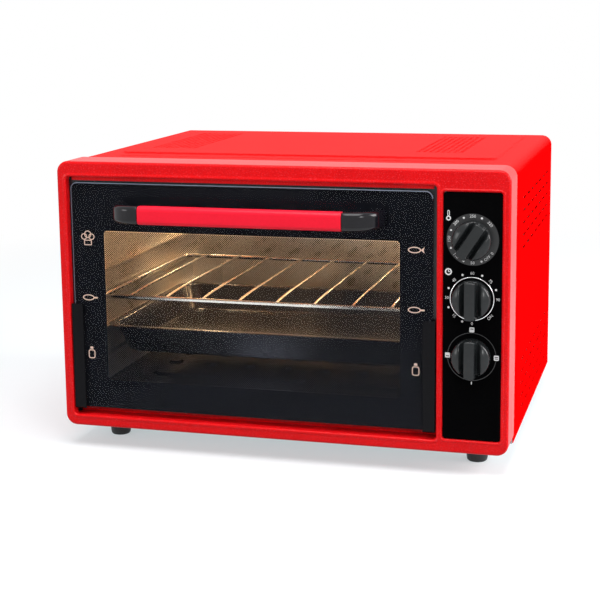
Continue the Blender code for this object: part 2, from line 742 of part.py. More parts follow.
def base_panel():
    """Base with folded sides and rear, vents and the feet's holes."""
    half = SHELL_HALF - SHEET - SEAT_GAP
    bm = bmesh.new()
    add_box(bm, (-half, half), (SHELL_FRONT, SHELL_REAR - SHEET - 2 * SEAT_GAP), (0, BASE_FOLD))
    base = make_piece("base_panel", bm, "zinc_sheet")
    inside = bmesh.new()
    inner = half - PANEL_SHEET
    rear = SHELL_REAR - SHEET - 2 * SEAT_GAP - PANEL_SHEET
    add_box(inside, (-inner, inner), (SHELL_FRONT - OVERRUN, rear), (PANEL_SHEET, BASE_FOLD + OVERRUN))
    apply_tool(base, inside)
    cuts = bmesh.new()
    reach = HALF_WIDTH - BASE_SLOT_SIDE_MARGIN
    middle = (SHELL_FRONT + SHELL_REAR) / 2
    block = BASE_SLOT_ROW_PITCH * (BASE_SLOT_ROWS - 1)
    places = []
    for row in spread(middle - block / 2, middle + block / 2, BASE_SLOT_ROWS):
        places += [(column, row) for column in spread(-reach, reach, BASE_SLOT_COLUMNS)]
    add_slots(cuts, "Z", places, (BASE_SLOT_LENGTH, BASE_SLOT_WIDTH), around(0))
    for centre in foot_places().values():
        add_cylinder(cuts, "Z", centre, hole_radius(FOOT_SCREW_RADIUS), around(0), SMALL_SIDES)
    apply_tool(base, cuts)


def cord_bushing():
    """Flanged bushing in the rear panel, with an open bore."""
    bm = bmesh.new()
    inner_face = REAR_PLATE_FRONT - SEAT_GAP
    outer_face = BODY_DEPTH + SEAT_GAP
    profile = [
        (BUSHING_BORE_RADIUS, outer_face + BUSHING_FLANGE_HEIGHT),
        (BUSHING_FLANGE_RADIUS, outer_face + BUSHING_FLANGE_HEIGHT),
        (BUSHING_FLANGE_RADIUS, outer_face),
        (BUSHING_NECK_RADIUS, outer_face),
        (BUSHING_NECK_RADIUS, inner_face),
        (BUSHING_FLANGE_RADIUS, inner_face),
        (BUSHING_FLANGE_RADIUS, inner_face - BUSHING_FLANGE_HEIGHT),
        (BUSHING_BORE_RADIUS, inner_face - BUSHING_FLANGE_HEIGHT),
    ]
    add_turned(bm, "Y", bushing_place(), profile, ROUND_SIDES, closed=True)
    make_piece("cord_bushing", bm, "black_rubber")


# Feet


def foot_places():
    """Place of each foot under the base."""
    side = HALF_WIDTH - FOOT_SIDE_MARGIN
    rear = BODY_DEPTH - FOOT_DEPTH_MARGIN
    return {
        "foot_front_left": (-side, FOOT_DEPTH_MARGIN),
        "foot_front_right": (side, FOOT_DEPTH_MARGIN),
        "foot_rear_left": (-side, rear),
        "foot_rear_right": (side, rear),
    }


def feet():
    """Four rubber feet and the screws that hold them."""
    seat = FOOT_RECESS_DEPTH - FOOT_HEIGHT
    hole = hole_radius(FOOT_SCREW_RADIUS)
    for name, centre in foot_places().items():
        bm = bmesh.new()
        profile = [
            (hole, -SEAT_GAP),
            (FOOT_TOP_RADIUS, -SEAT_GAP),
            (FOOT_BOTTOM_RADIUS, -FOOT_HEIGHT),
            (FOOT_RECESS_RADIUS, -FOOT_HEIGHT),
            (FOOT_RECESS_RADIUS, seat),
            (hole, seat),
        ]
        add_turned(bm, "Z", centre, profile, ROUND_SIDES, closed=True)
        make_piece(name, bm, "black_rubber")
        head = (FOOT_HEAD_RADIUS, FOOT_HEAD_HEIGHT)
        shank = (FOOT_SCREW_RADIUS, FOOT_SCREW_LENGTH)
        bm = bmesh.new()
        add_screw(bm, "Z", centre, seat - SEAT_GAP, -1, head, shank)
        make_piece(name.replace("foot", "foot_screw", 1), bm, "chrome")


# Cavity


def cavity_front():
    """Plate behind the door with the cavity's opening, joggled back under the sill."""
    bm = bmesh.new()
    front = FACE_PLATE_DEPTH
    back = SILL_PLATE_FRONT + PANEL_SHEET
    top = DOOR_OPENING_TOP + FACE_PLATE_MARGIN
    bottom = BOTTOM_BEZEL - LIP_WALL
    outline = [
        (front, SILL_TOP),
        (SILL_PLATE_FRONT, SILL_TOP),
        (SILL_PLATE_FRONT, bottom),
        (back, bottom),
        (back, SILL_TOP + PANEL_SHEET),
        (front + PANEL_SHEET, SILL_TOP + PANEL_SHEET),
        (front + PANEL_SHEET, top),
        (front, top),
    ]
    add_prism(bm, outline, "X", (DOOR_OPENING_LEFT - FACE_PLATE_MARGIN, BRACKET_LEFT - SEAT_GAP))
    plate = make_piece("cavity_front", bm, "black_enamel")
    opening = bmesh.new()
    add_box(opening, (CAVITY_LEFT, CAVITY_RIGHT), around(front), (CAVITY_FLOOR, CAVITY_ROOF))
    apply_tool(plate, opening)


def rail_top(level):
    """Height of the seat of one rail."""
    return CAVITY_FLOOR + RAIL_FIRST + level * RAIL_PITCH


def wall_line(offset):
    """One side of a cavity wall from its foot to its head, as inward reach and height."""
    line = [(offset, WALL_BOTTOM)]
    for level in range(RAIL_COUNT):
        seat = rail_top(level)
        foot = seat - RAIL_FLAT - RAIL_SLOPE_DROP
        line += [
            (offset, foot - offset),
            (offset + RAIL_REACH, seat - RAIL_FLAT),
            (offset + RAIL_REACH, seat + offset),
            (offset, seat + offset),
        ]
    line.append((offset, CAVITY_ROOF + SHEET))
    return line


def cavity_wall(name, face, inward):
    """One side wall with its pressed rails. The face is its inner surface."""
    outline = [(face + inward * reach, z) for reach, z in wall_line(0) + wall_line(-SHEET)[::-1]]
    bm = bmesh.new()
    add_prism(bm, outline, "Y", (CAVITY_FRONT, CAVITY_BACK - SHEET - SEAT_GAP))
    wall = make_piece(name, bm, "cavity_steel")
    cuts = bmesh.new()
    across = around(face - inward * SHEET / 2)
    notch_y = (CAVITY_FRONT - OVERRUN, SILL_PLATE_FRONT + PANEL_SHEET + SEAT_GAP)
    notch_z = (WALL_BOTTOM - OVERRUN, SILL_TOP + PANEL_SHEET + SEAT_GAP)
    add_box(cuts, across, notch_y, notch_z)
    return wall, cuts, across


def cavity_sides():
    """Left and right walls. The right one is cut for the lamp, the capillary and the heaters."""
    left, cuts, _ = cavity_wall("cavity_left_wall", CAVITY_LEFT, 1)
    apply_tool(left, cuts)
    right, cuts, across = cavity_wall("cavity_right_wall", CAVITY_RIGHT, -1)
    add_box(cuts, across, centred(LAMP_Y, LAMP_WINDOW_WIDTH), centred(LAMP_Z, LAMP_WINDOW_HEIGHT))
    add_cylinder(cuts, "X", (CAPILLARY_Y, BULB_Z), CAPILLARY_HOLE_RADIUS, across, SMALL_SIDES)
    for _, level in heater_levels().values():
        for y in heater_depths()[0]:
            add_cylinder(cuts, "X", (y, level), HEATER_RADIUS + HEATER_HOLE_CLEARANCE, across)
    apply_tool(right, cuts)


def cavity_sheets():
    """Back wall behind the side walls, and roof and floor between them."""
    span_x = (CAVITY_LEFT + SEAT_GAP, CAVITY_RIGHT - SEAT_GAP)
    bm = bmesh.new()
    back_x = (CAVITY_LEFT - SHEET, CAVITY_RIGHT + SHEET)
    add_box(bm, back_x, (CAVITY_BACK - SHEET, CAVITY_BACK), (WALL_BOTTOM, CAVITY_ROOF + SHEET))
    back = make_piece("cavity_back_wall", bm, "cavity_steel")
    field_x = (span_x[0] + STAMP_FIELD_MARGIN, span_x[1] - STAMP_FIELD_MARGIN)
    field_z = (CAVITY_FLOOR + STAMP_FIELD_MARGIN, CAVITY_ROOF - STAMP_FIELD_MARGIN)
    face = CAVITY_BACK - SHEET
    stamp_field(back, "Y", (field_x, field_z), STAMP_FIELD_CORNER, face, SHEET, -STAMP_FIELD_RISE)
    span_y = (CAVITY_FRONT, CAVITY_BACK - SHEET - SEAT_GAP)
    bm = bmesh.new()
    add_box(bm, span_x, span_y, (CAVITY_ROOF, CAVITY_ROOF + SHEET))
    make_piece("cavity_roof", bm, "cavity_steel")
    bm = bmesh.new()
    add_box(bm, span_x, span_y, (CAVITY_FLOOR - SHEET, CAVITY_FLOOR))
    floor = make_piece("cavity_floor", bm, "black_enamel")
    apply_tool(floor, floor_embossing(), "UNION")


def floor_embossing():
    """Long ovals near the door and rows of round dimples behind them."""
    bm = bmesh.new()
    left = CAVITY_LEFT + EMBOSS_SIDE_MARGIN
    right = CAVITY_RIGHT - EMBOSS_SIDE_MARGIN
    row = CAVITY_FRONT + CAVITY_LENGTH * OVAL_DEPTH_SHARE
    length = (right - left - (OVAL_COUNT - 1) * OVAL_GAP) / OVAL_COUNT
    for centre in spread(left + length / 2, right - length / 2, OVAL_COUNT):
        add_emboss(bm, (centre, row), length, OVAL_WIDTH)
    count = round((right - left - 2 * DIMPLE_RADIUS) / DIMPLE_PITCH) + 1
    for share in DIMPLE_DEPTH_SHARES:
        row = CAVITY_FRONT + CAVITY_LENGTH * share
        for centre in spread(left + DIMPLE_RADIUS, right - DIMPLE_RADIUS, count):
            add_emboss(bm, (centre, row), 2 * DIMPLE_RADIUS, 2 * DIMPLE_RADIUS)
    return bm


def add_emboss(bm, centre, length, width):
    """Add one raised slot or dimple to the floor."""
    slope = width * EMBOSS_SLOPE_SHARE
    foot = slot_outline(centre, length, width, EMBOSS_END_STEPS)
    crown = slot_outline(centre, length - slope, width - slope, EMBOSS_END_STEPS)
    levels = (CAVITY_FLOOR - SHEET / 2, CAVITY_FLOOR + OVAL_RISE)
    rings = [[spatial("Z", a, b, level) for a, b in ring] for ring, level in zip((foot, crown), levels)]
    add_loft(bm, rings)


# Heaters


def heater_levels():
    """Height of the sheet above each heater and of the heater's rod."""
    return {
        "upper_heater": (CAVITY_ROOF, CAVITY_ROOF - UPPER_HEATER_DROP),
        "lower_heater": (CAVITY_FLOOR - SHEET, CAVITY_FLOOR - LOWER_HEATER_DROP),
    }


def heater_depths():
    """Depths of a heater's two ends and of its two long runs."""
    middle = CAVITY_FRONT + CAVITY_LENGTH / 2
    ends = centred(middle, HEATER_END_SPACING)
    runs = centred(middle, CAVITY_LENGTH * HEATER_SPREAD_SHARE)
    return ends, runs


def rounded_route(points, radius, steps=CORNER_STEPS):
    """Points of a run whose corners are rounded with arcs."""
    route = [points[0]]
    for before, corner, after in zip(points, points[1:], points[2:]):
        start = corner + (before - corner).normalized() * radius
        end = corner + (after - corner).normalized() * radius
        centre = start + end - corner
        for step in range(steps + 1):
            angle = math.pi / 2 * step / steps
            route.append(centre + (start - centre) * math.cos(angle) + (end - centre) * math.sin(angle))
    route.append(points[-1])
    return route


def heaters():
    """Bent heating rods, each with its end plate on the right wall and its hook on the left."""
    ends, runs = heater_depths()
    left = CAVITY_LEFT + HEATER_SIDE_SPACE
    neck = CAVITY_RIGHT - HEATER_NECK
    plate_out = CAVITY_RIGHT + SHEET + SEAT_GAP + HEATER_PLATE_THICKNESS
    sheath_end = plate_out + HEATER_STANDOUT
    for name, (ceiling, level) in heater_levels().items():
        corners = [
            (sheath_end, ends[0]), (neck, ends[0]), (neck, runs[0]), (left, runs[0]),
            (left, runs[1]), (neck, runs[1]), (neck, ends[1]), (sheath_end, ends[1]),
        ]
        corners = [Vector((x, y, level)) for x, y in corners]
        route = rounded_route(corners, HEATER_BEND_RADIUS, HEATER_BEND_STEPS)
        pin = Vector((HEATER_PIN_LENGTH, 0, 0))
        step = Vector((SEAT_GAP, 0, 0))
        share = HEATER_PIN_RADIUS / HEATER_RADIUS
        route = [route[0] + step + pin, route[0] + step, *route, route[-1] + step, route[-1] + step + pin]
        radii = [share, share] + [1.0] * (len(route) - 4) + [share, share]
        make_tube(name, [(route, radii)], HEATER_RADIUS, "heater_sheath")
        heater_plate(name, ends, level)
        heater_hook(name, left, ceiling, level)


def heater_plate(name, ends, level):
    """Plate outside the right wall that holds both ends of one heater."""
    seat = CAVITY_RIGHT + SHEET + SEAT_GAP
    bm = bmesh.new()
    span_y = (ends[0] - HEATER_PLATE_MARGIN, ends[1] + HEATER_PLATE_MARGIN)
    span_z = centred(level, HEATER_PLATE_HEIGHT)
    add_box(bm, (seat, seat + HEATER_PLATE_THICKNESS), span_y, span_z)
    plate = make_piece(f"{name}_plate", bm, "zinc_sheet")
    holes = bmesh.new()
    for y in ends:
        add_cylinder(holes, "X", (y, level), HEATER_RADIUS + SEAT_GAP, around(seat))
    apply_tool(plate, holes)


def heater_hook(name, left, ceiling, level):
    """Hook under the sheet above a heater that carries the heater's bend."""
    middle = CAVITY_FRONT + CAVITY_LENGTH / 2
    inner = left + HEATER_RADIUS + SEAT_GAP
    foot = level - HEATER_RADIUS - SEAT_GAP
    top = ceiling - SEAT_GAP
    sheet = HEATER_HOOK_SHEET
    outline = [
        (left - HEATER_RADIUS, foot),
        (left - HEATER_RADIUS, foot - sheet),
        (inner + sheet, foot - sheet),
        (inner + sheet, top - sheet),
        (inner + HEATER_HOOK_FOOT, top - sheet),
        (inner + HEATER_HOOK_FOOT, top),
        (inner, top),
        (inner, foot),
    ]
    bm = bmesh.new()
    add_prism(bm, outline, "Y", centred(middle, HEATER_HOOK_WIDTH))
    make_piece(f"{name}_hook", bm, "zinc_sheet")


# Lamp


def lamp():
    """Lamp behind the right wall: lens, holder, bulb and socket."""
    wall = CAVITY_RIGHT + SHEET + SEAT_GAP
    lens_y = centred(LAMP_Y, LAMP_WINDOW_WIDTH + 2 * LAMP_LEDGE)
    lens_z = centred(LAMP_Z, LAMP_WINDOW_HEIGHT + 2 * LAMP_LEDGE)
    bm = bmesh.new()
    add_box(bm, (wall, wall + LAMP_LENS_THICKNESS), lens_y, lens_z)
    make_piece("lamp_lens", bm, "clear_glass")
    back = SHIELD_LEFT - SEAT_GAP
    rim = LAMP_HOLDER_RIM + LAMP_LEDGE
    bm = bmesh.new()
    holder_y = centred(LAMP_Y, LAMP_WINDOW_WIDTH + 2 * rim)
    holder_z = centred(LAMP_Z, LAMP_WINDOW_HEIGHT + 2 * rim)
    add_box(bm, (wall, back), holder_y, holder_z)
    holder = make_piece("lamp_holder", bm, "zinc_sheet")
    pocket = bmesh.new()
    span_y = (lens_y[0] - SEAT_GAP, lens_y[1] + SEAT_GAP)
    span_z = (lens_z[0] - SEAT_GAP, lens_z[1] + SEAT_GAP)
    floor = back - LAMP_HOLDER_WALL
    add_box(pocket, (wall - OVERRUN, floor), span_y, span_z)
    apply_tool(holder, pocket)
    socket_front = lens_y[1] - LAMP_SOCKET_LENGTH
    socket_x = (floor - SEAT_GAP - 2 * LAMP_BULB_RADIUS, floor - SEAT_GAP)
    bm = bmesh.new()
    add_box(bm, socket_x, (socket_front, lens_y[1]), centred(LAMP_Z, LAMP_SOCKET_HEIGHT))
    make_piece("lamp_socket", bm, "ceramic")
    tip = socket_front - SEAT_GAP - LAMP_BULB_LENGTH
    shoulder = LAMP_BULB_RADIUS * LAMP_SHOULDER_SHARE
    bm = bmesh.new()
    profile = [
        (shoulder, socket_front - SEAT_GAP),
        (LAMP_BULB_RADIUS, socket_front - SEAT_GAP - shoulder),
        (LAMP_BULB_RADIUS, tip + shoulder),
        (shoulder, tip + shoulder * LAMP_TIP_SHARE),
        (shoulder * LAMP_TIP_SHARE, tip),
    ]
    add_turned(bm, "Y", (sum(socket_x) / 2, LAMP_Z), profile, SMALL_SIDES)
    make_piece("lamp_bulb", bm, "clear_glass")


# Heat shield, controls' bracket and panel


def heat_shield():
    """Upright sheet between the hot cavity and the controls."""
    bm = bmesh.new()
    span_y = (SHIELD_FRONT, SHELL_REAR - SHEET - 2 * SEAT_GAP - PANEL_SHEET - SHIELD_REAR_MARGIN)
    span_z = (PANEL_SHEET + SEAT_GAP, SHELL_TOP - SHIELD_TOP_MARGIN)
    add_box(bm, (SHIELD_LEFT, SHIELD_LEFT + SHEET), span_y, span_z)
    shield = make_piece("heat_shield", bm, "zinc_sheet")
    hole = bmesh.new()
    add_cylinder(hole, "X", (CAPILLARY_Y, BULB_Z), CAPILLARY_HOLE_RADIUS, around(SHIELD_LEFT), SMALL_SIDES)
    apply_tool(shield, hole)


def control_bracket():
    """Angle of sheet steel that carries the three controls and the panel."""
    bm = bmesh.new()
    right = PANEL_OPENING_RIGHT + BRACKET_MARGIN
    fold_back = FACE_PLATE_DEPTH + BRACKET_FOLD
    outline = [
        (BRACKET_LEFT, FACE_PLATE_DEPTH),
        (right, FACE_PLATE_DEPTH),
        (right, BRACKET_BACK),
        (BRACKET_LEFT + PANEL_SHEET, BRACKET_BACK),
        (BRACKET_LEFT + PANEL_SHEET, fold_back),
        (BRACKET_LEFT, fold_back),
    ]
    span_z = (PANEL_BEZEL_BOTTOM - BRACKET_MARGIN, PANEL_OPENING_TOP + BRACKET_MARGIN)
    add_prism(bm, outline, "Z", span_z)
    bracket = make_piece("control_bracket", bm, "zinc_sheet")
    cuts = bmesh.new()
    through = around(FACE_PLATE_DEPTH)
    for point in (THERMOSTAT_POINT, TIMER_POINT, SELECTOR_POINT):
        add_cylinder(cuts, "Y", (point.x, point.z), NECK_RADIUS + SEAT_GAP, through)
    apply_tool(bracket, cuts)


def panel_spans():
    """Spans of the control panel inside its opening."""
    span_x = (PANEL_OPENING_LEFT + PANEL_CLEARANCE, PANEL_OPENING_RIGHT - PANEL_CLEARANCE)
    span_z = (PANEL_BEZEL_BOTTOM + PANEL_CLEARANCE, PANEL_OPENING_TOP - PANEL_CLEARANCE)
    return span_x, span_z


def panel_boss_places():
    """Places of the four bosses behind the panel."""
    span_x, span_z = panel_spans()
    xs = (span_x[0] + PANEL_BOSS_MARGIN, span_x[1] - PANEL_BOSS_MARGIN)
    zs = (span_z[0] + PANEL_BOSS_MARGIN, span_z[1] - PANEL_BOSS_MARGIN)
    return [(x, z) for x in xs for z in zs]


def control_panel():
    """Glossy panel with a hole for each shaft and bosses that seat on the bracket."""
    span_x, span_z = panel_spans()
    bm = bmesh.new()
    add_prism(bm, rounded_rect(span_x, span_z, PANEL_CORNER), "Y", (PANEL_FRONT, PANEL_BACK))
    panel = make_piece("control_panel", bm, "black_plastic")
    boss_end = FACE_PLATE_DEPTH - SEAT_GAP
    bosses = bmesh.new()
    for centre in panel_boss_places():
        span = (PANEL_BACK - PANEL_THICKNESS / 2, boss_end)
        add_cylinder(bosses, "Y", centre, PANEL_BOSS_RADIUS, span, SMALL_SIDES)
    apply_tool(panel, bosses, "UNION")
    cuts = bmesh.new()
    for point in (THERMOSTAT_POINT, TIMER_POINT, SELECTOR_POINT):
        span = (PANEL_FRONT - OVERRUN, PANEL_BACK + OVERRUN)
        add_cylinder(cuts, "Y", (point.x, point.z), SHAFT_RADIUS + SCREW_CLEARANCE, span)
    apply_tool(panel, cuts)


# Controls


def control_body(name, point, size, finish):
    """Box of one control with its neck through the bracket and the shaft's bore."""
    width, depth, height = size
    bm = bmesh.new()
    add_box(bm, centred(point.x, width), (CONTROL_FRONT, CONTROL_FRONT + depth), centred(point.z, height))
    body = make_piece(name, bm, finish)
    neck = bmesh.new()
    neck_front = FACE_PLATE_DEPTH - NECK_REACH
    add_cylinder(neck, "Y", (point.x, point.z), NECK_RADIUS, (neck_front, CONTROL_FRONT + NECK_REACH))
    apply_tool(body, neck, "UNION")
    cuts = bmesh.new()
    bore_end = CONTROL_FRONT + SHAFT_BITE + SEAT_GAP
    bore = SHAFT_RADIUS + SEAT_GAP
    add_cylinder(cuts, "Y", (point.x, point.z), bore, (neck_front - OVERRUN, bore_end))
    apply_tool(body, cuts)


def controls():
    """Thermostat, timer with its bell, and heat selector."""
    control_body("thermostat_body", THERMOSTAT_POINT, THERMOSTAT_SIZE, "zinc_sheet")
    control_body("timer_body", TIMER_POINT, TIMER_SIZE, "zinc_sheet")
    control_body("selector_body", SELECTOR_POINT, SELECTOR_SIZE, "pale_plastic")
    timer_bell()


def timer_bell():
    """Cup-shaped bell on its stem behind the timer."""
    back = CONTROL_FRONT + TIMER_SIZE[1] + SEAT_GAP
    rim = back + BELL_HEIGHT * BELL_RIM_SHARE
    crown = back + BELL_HEIGHT + BELL_WALL
    profile = [
        (BELL_STEM_RADIUS, back),
        (BELL_STEM_RADIUS, crown - BELL_WALL),
        (BELL_RADIUS * BELL_CROWN_SHARE - BELL_WALL, crown - BELL_WALL),
        (BELL_RADIUS - BELL_WALL, rim),
        (BELL_RADIUS, rim),
        (BELL_RADIUS * BELL_CROWN_SHARE, crown),
    ]
    bm = bmesh.new()
    add_turned(bm, "Y", (TIMER_POINT.x, TIMER_POINT.z), profile)
    make_piece("timer_bell", bm, "chrome")


def timer_ring():
    """Bright trim ring on the panel round the timer's knob."""
    inner = KNOB_RADIUS + RING_CLEARANCE
    back = PANEL_FRONT - SEAT_GAP
    profile = [
        (inner, back),
        (inner, back - RING_HEIGHT),
        (inner + RING_WIDTH, back - RING_HEIGHT),
        (inner + RING_WIDTH, back),
    ]
    bm = bmesh.new()
    add_turned(bm, "Y", (TIMER_POINT.x, TIMER_POINT.z), profile, KNOB_SIDES, closed=True)
    make_piece("timer_ring", bm, "chrome")


def knob_profile():
    """Profile of a knob from its back to its crown, with a domed front edge."""
    back = PANEL_FRONT - KNOB_LIFT
    skirt = back - KNOB_HEIGHT * KNOB_SKIRT_SHARE
    crown = KNOB_RADIUS * KNOB_CROWN_SHARE
    drop = KNOB_HEIGHT * (1 - KNOB_SKIRT_SHARE)
    profile = [(KNOB_RADIUS, back)]
    for step in range(KNOB_DOME_STEPS + 1):
        angle = math.pi / 2 * step / KNOB_DOME_STEPS
        radius = crown + (KNOB_RADIUS - crown) * math.cos(angle)
        profile.append((radius, skirt - drop * math.sin(angle)))
    return profile


def knob(name, point, turn):
    """Domed knob with a grip bar between two grooves, and its shaft."""
    centre = (point.x, point.z)
    back = PANEL_FRONT - KNOB_LIFT
    crown = back - KNOB_HEIGHT
    bm = bmesh.new()
    add_turned(bm, "Y", centre, knob_profile(), KNOB_SIDES)
    piece = make_piece(f"{name}_knob", bm, "black_plastic", point, turn)
    cuts = bmesh.new()
    for side in (-1, 1):
        near = point.x + side * KNOB_GRIP_WIDTH / 2
        floor = near + side * KNOB_GROOVE_FLOOR
        outline = [
            (near, crown - OVERRUN),
            (near, crown + KNOB_GROOVE_DEPTH),
            (floor, crown + KNOB_GROOVE_DEPTH),
            (floor + side * KNOB_GROOVE_FLARE, crown - OVERRUN),
        ]
        add_prism(cuts, outline, "Z", centred(point.z, 2 * KNOB_RADIUS + OVERRUN))
    socket = (back - KNOB_SOCKET_DEPTH - SEAT_GAP, back + OVERRUN)
    add_cylinder(cuts, "Y", centre, SHAFT_RADIUS + SEAT_GAP, socket, SMALL_SIDES)
    apply_tool(piece, cuts, "DIFFERENCE", point, turn)
    bm = bmesh.new()
    shaft = (back - KNOB_SOCKET_DEPTH, CONTROL_FRONT + SHAFT_BITE)
    add_cylinder(bm, "Y", centre, SHAFT_RADIUS, shaft, SMALL_SIDES)
    make_piece(f"{name}_shaft", bm, "zinc_sheet", point, turn)


def knobs():
    """The three knobs, each turned to its place at rest."""
    knob("thermostat", THERMOSTAT_POINT, THERMOSTAT_TURN)
    knob("timer", TIMER_POINT, 0.0)
    knob("selector", SELECTOR_POINT, 0.0)


# Sensing bulb, terminal block and wiring


def bowed_route(start, end, lead, steps=16):
    """Points of a curve that leaves its start and meets its end along a lead."""
    route = []
    for step in range(steps + 1):
        t = step / steps
        near = (start * (1 - t) + (start + lead[0]) * 3 * t) * (1 - t) ** 2
        far = ((end + lead[1]) * 3 * (1 - t) + end * t) * t**2
        route.append(near + far)
    return route


def add_route(curve, route, radii):
    """Add one run of tube to a curve, with a radius at each point."""
    spline = curve.splines.new("POLY")
    spline.points.add(len(route) - 1)
    for place, point, radius in zip(spline.points, route, radii):
        place.co = (*point, 1)
        place.radius = radius


def make_tube(name, runs, radius, finish):
    """Make a piece of one or more runs of tube with closed ends."""
    curve = bpy.data.curves.new(name, "CURVE")
    curve.dimensions = "3D"
    curve.bevel_depth = radius
    curve.bevel_resolution = 2
    curve.use_fill_caps = True
    for route, radii in runs:
        add_route(curve, route, radii)
    obj = bpy.data.objects.new(name, curve)
    bpy.context.scene.collection.objects.link(obj)
    obj.location = BODY_ORIGIN
    curve.materials.append(make_material(name, finish))


def thermostat_bulb():
    """Capillary from the thermostat through shield and wall to the bulb in the cavity."""
    start = CONTROL_FRONT + THERMOSTAT_SIZE[1] + SEAT_GAP
    bulb_front = CAPILLARY_Y + 2 * BULB_WALL_SPACE
    corners = ((KNOB_X, start), (KNOB_X, CAPILLARY_Y), (BULB_X, CAPILLARY_Y), (BULB_X, bulb_front))
    route = rounded_route([Vector((x, y, BULB_Z)) for x, y in corners], CAPILLARY_BEND)
    radii = [1.0] * len(route)
    swell = BULB_RADIUS / CAPILLARY_RADIUS
    taper = BULB_RADIUS
    for step, radius in ((taper, swell), (BULB_LENGTH - taper, swell), (BULB_LENGTH, 1.0)):
        route.append(Vector((BULB_X, bulb_front + step, BULB_Z)))
        radii.append(radius)
    make_tube("thermostat_bulb", [(route, radii)], CAPILLARY_RADIUS, "copper")
    bulb_clip(bulb_front + BULB_LENGTH * CLIP_SHARE)


def bulb_clip(middle):
    """Clip round the bulb with its foot on the right wall."""
    ring_inner = BULB_RADIUS + SEAT_GAP
    ring_outer = ring_inner + CLIP_WALL
    span = centred(middle, CLIP_WIDTH)
    profile = [(ring_inner, span[0]), (ring_outer, span[0]), (ring_outer, span[1]), (ring_inner, span[1])]
    ring = bmesh.new()
    add_turned(ring, "Y", (BULB_X, BULB_Z), profile, SMALL_SIDES, closed=True)
    clip = make_piece("bulb_clip", ring, "zinc_sheet")
    stem = bmesh.new()
    stem_x = (BULB_X + ring_outer - CLIP_WALL / 2, CAVITY_RIGHT - SEAT_GAP)
    add_box(stem, stem_x, centred(middle, CLIP_WIDTH / 2), centred(BULB_Z, BULB_RADIUS))
    apply_tool(clip, stem, "UNION")


def terminal_spans():
    """Spans of the terminal block on the heat shield."""
    width, depth, height = TERMINAL_SIZE
    left = SHIELD_LEFT + SHEET + SEAT_GAP
    rear = SHELL_REAR - TERMINAL_REAR_MARGIN
    return (left, left + width), (rear - depth, rear), (TERMINAL_HEIGHT, TERMINAL_HEIGHT + height)


def terminal_block():
    """Block where the supply meets the oven's own wiring."""
    bm = bmesh.new()
    add_box(bm, *terminal_spans())
    make_piece("terminal_block", bm, "pale_plastic")


def wires():
    """Supply wire from the terminal block to the selector, and the wire on to the thermostat."""
    span_x, span_y, span_z = terminal_spans()
    lead = Vector((0, WIRE_LEAD, 0))
    start = Vector((sum(span_x) / 2, span_y[0] - SEAT_GAP, sum(span_z) / 2))
    low = control_terminal(SELECTOR_POINT, SELECTOR_SIZE, -1)
    make_wire("supply_wire", start, low, (-lead, lead))
    near = control_terminal(SELECTOR_POINT, SELECTOR_SIZE, 1)
    far = control_terminal(THERMOSTAT_POINT, THERMOSTAT_SIZE, 1)
    make_wire("control_wire", near, far, (lead, lead))


def make_wire(name, start, end, lead):
    """Make one wire that is straight where it leaves and enters."""
    tip = Vector((0, WIRE_TIP, 0))
    first = start + math.copysign(1, lead[0].y) * tip
    last = end + math.copysign(1, lead[1].y) * tip
    route = [start, *bowed_route(first, last, lead), end]
    make_tube(name, [(route, [1.0] * len(route))], WIRE_RADIUS, "wire_cover")


def control_terminal(point, size, side):
    """Terminal on the back of a control, towards its left or right side."""
    back = CONTROL_FRONT + size[1] + SEAT_GAP
    across = side * size[0] * TERMINAL_SPREAD_SHARE
    return Vector((point.x + across, back, point.z - size[2] * TERMINAL_DROP_SHARE))


# Door


def hinge_span(side):
    """Edge of the glass on one side and the direction away from the door's middle."""
    return (GLASS_LEFT, -1) if side == "left" else (GLASS_RIGHT, 1)


def ordered(first, second):
    """Span between two places in rising order."""
    return (min(first, second), max(first, second))


def door_glass():
    """Pane with bevelled front edges and two holes for the handle's screws."""
    bm = bmesh.new()
    rings = []
    levels = ((GLASS_BACK, 0), (DOOR_RECESS + GLASS_BEVEL, 0), (DOOR_RECESS, GLASS_BEVEL))
    for level, inset in levels:
        span_x = (GLASS_LEFT + inset, GLASS_RIGHT - inset)
        span_z = (GLASS_BOTTOM + inset, GLASS_TOP - inset)
        outline = rounded_rect(span_x, span_z, GLASS_CORNER - inset)
        rings.append([spatial("Y", a, b, level) for a, b in outline])
    add_loft(bm, rings)
    glass = make_piece("door_glass", bm, "black_glass", HINGE_POINT)
    holes = bmesh.new()
    for x in handle_foot_places():
        span = (DOOR_RECESS - OVERRUN, GLASS_BACK + OVERRUN)
        add_cylinder(holes, "Y", (x, HANDLE_Z), hole_radius(HANDLE_SCREW_RADIUS), span, SMALL_SIDES)
    apply_tool(glass, holes, pivot=HINGE_POINT)


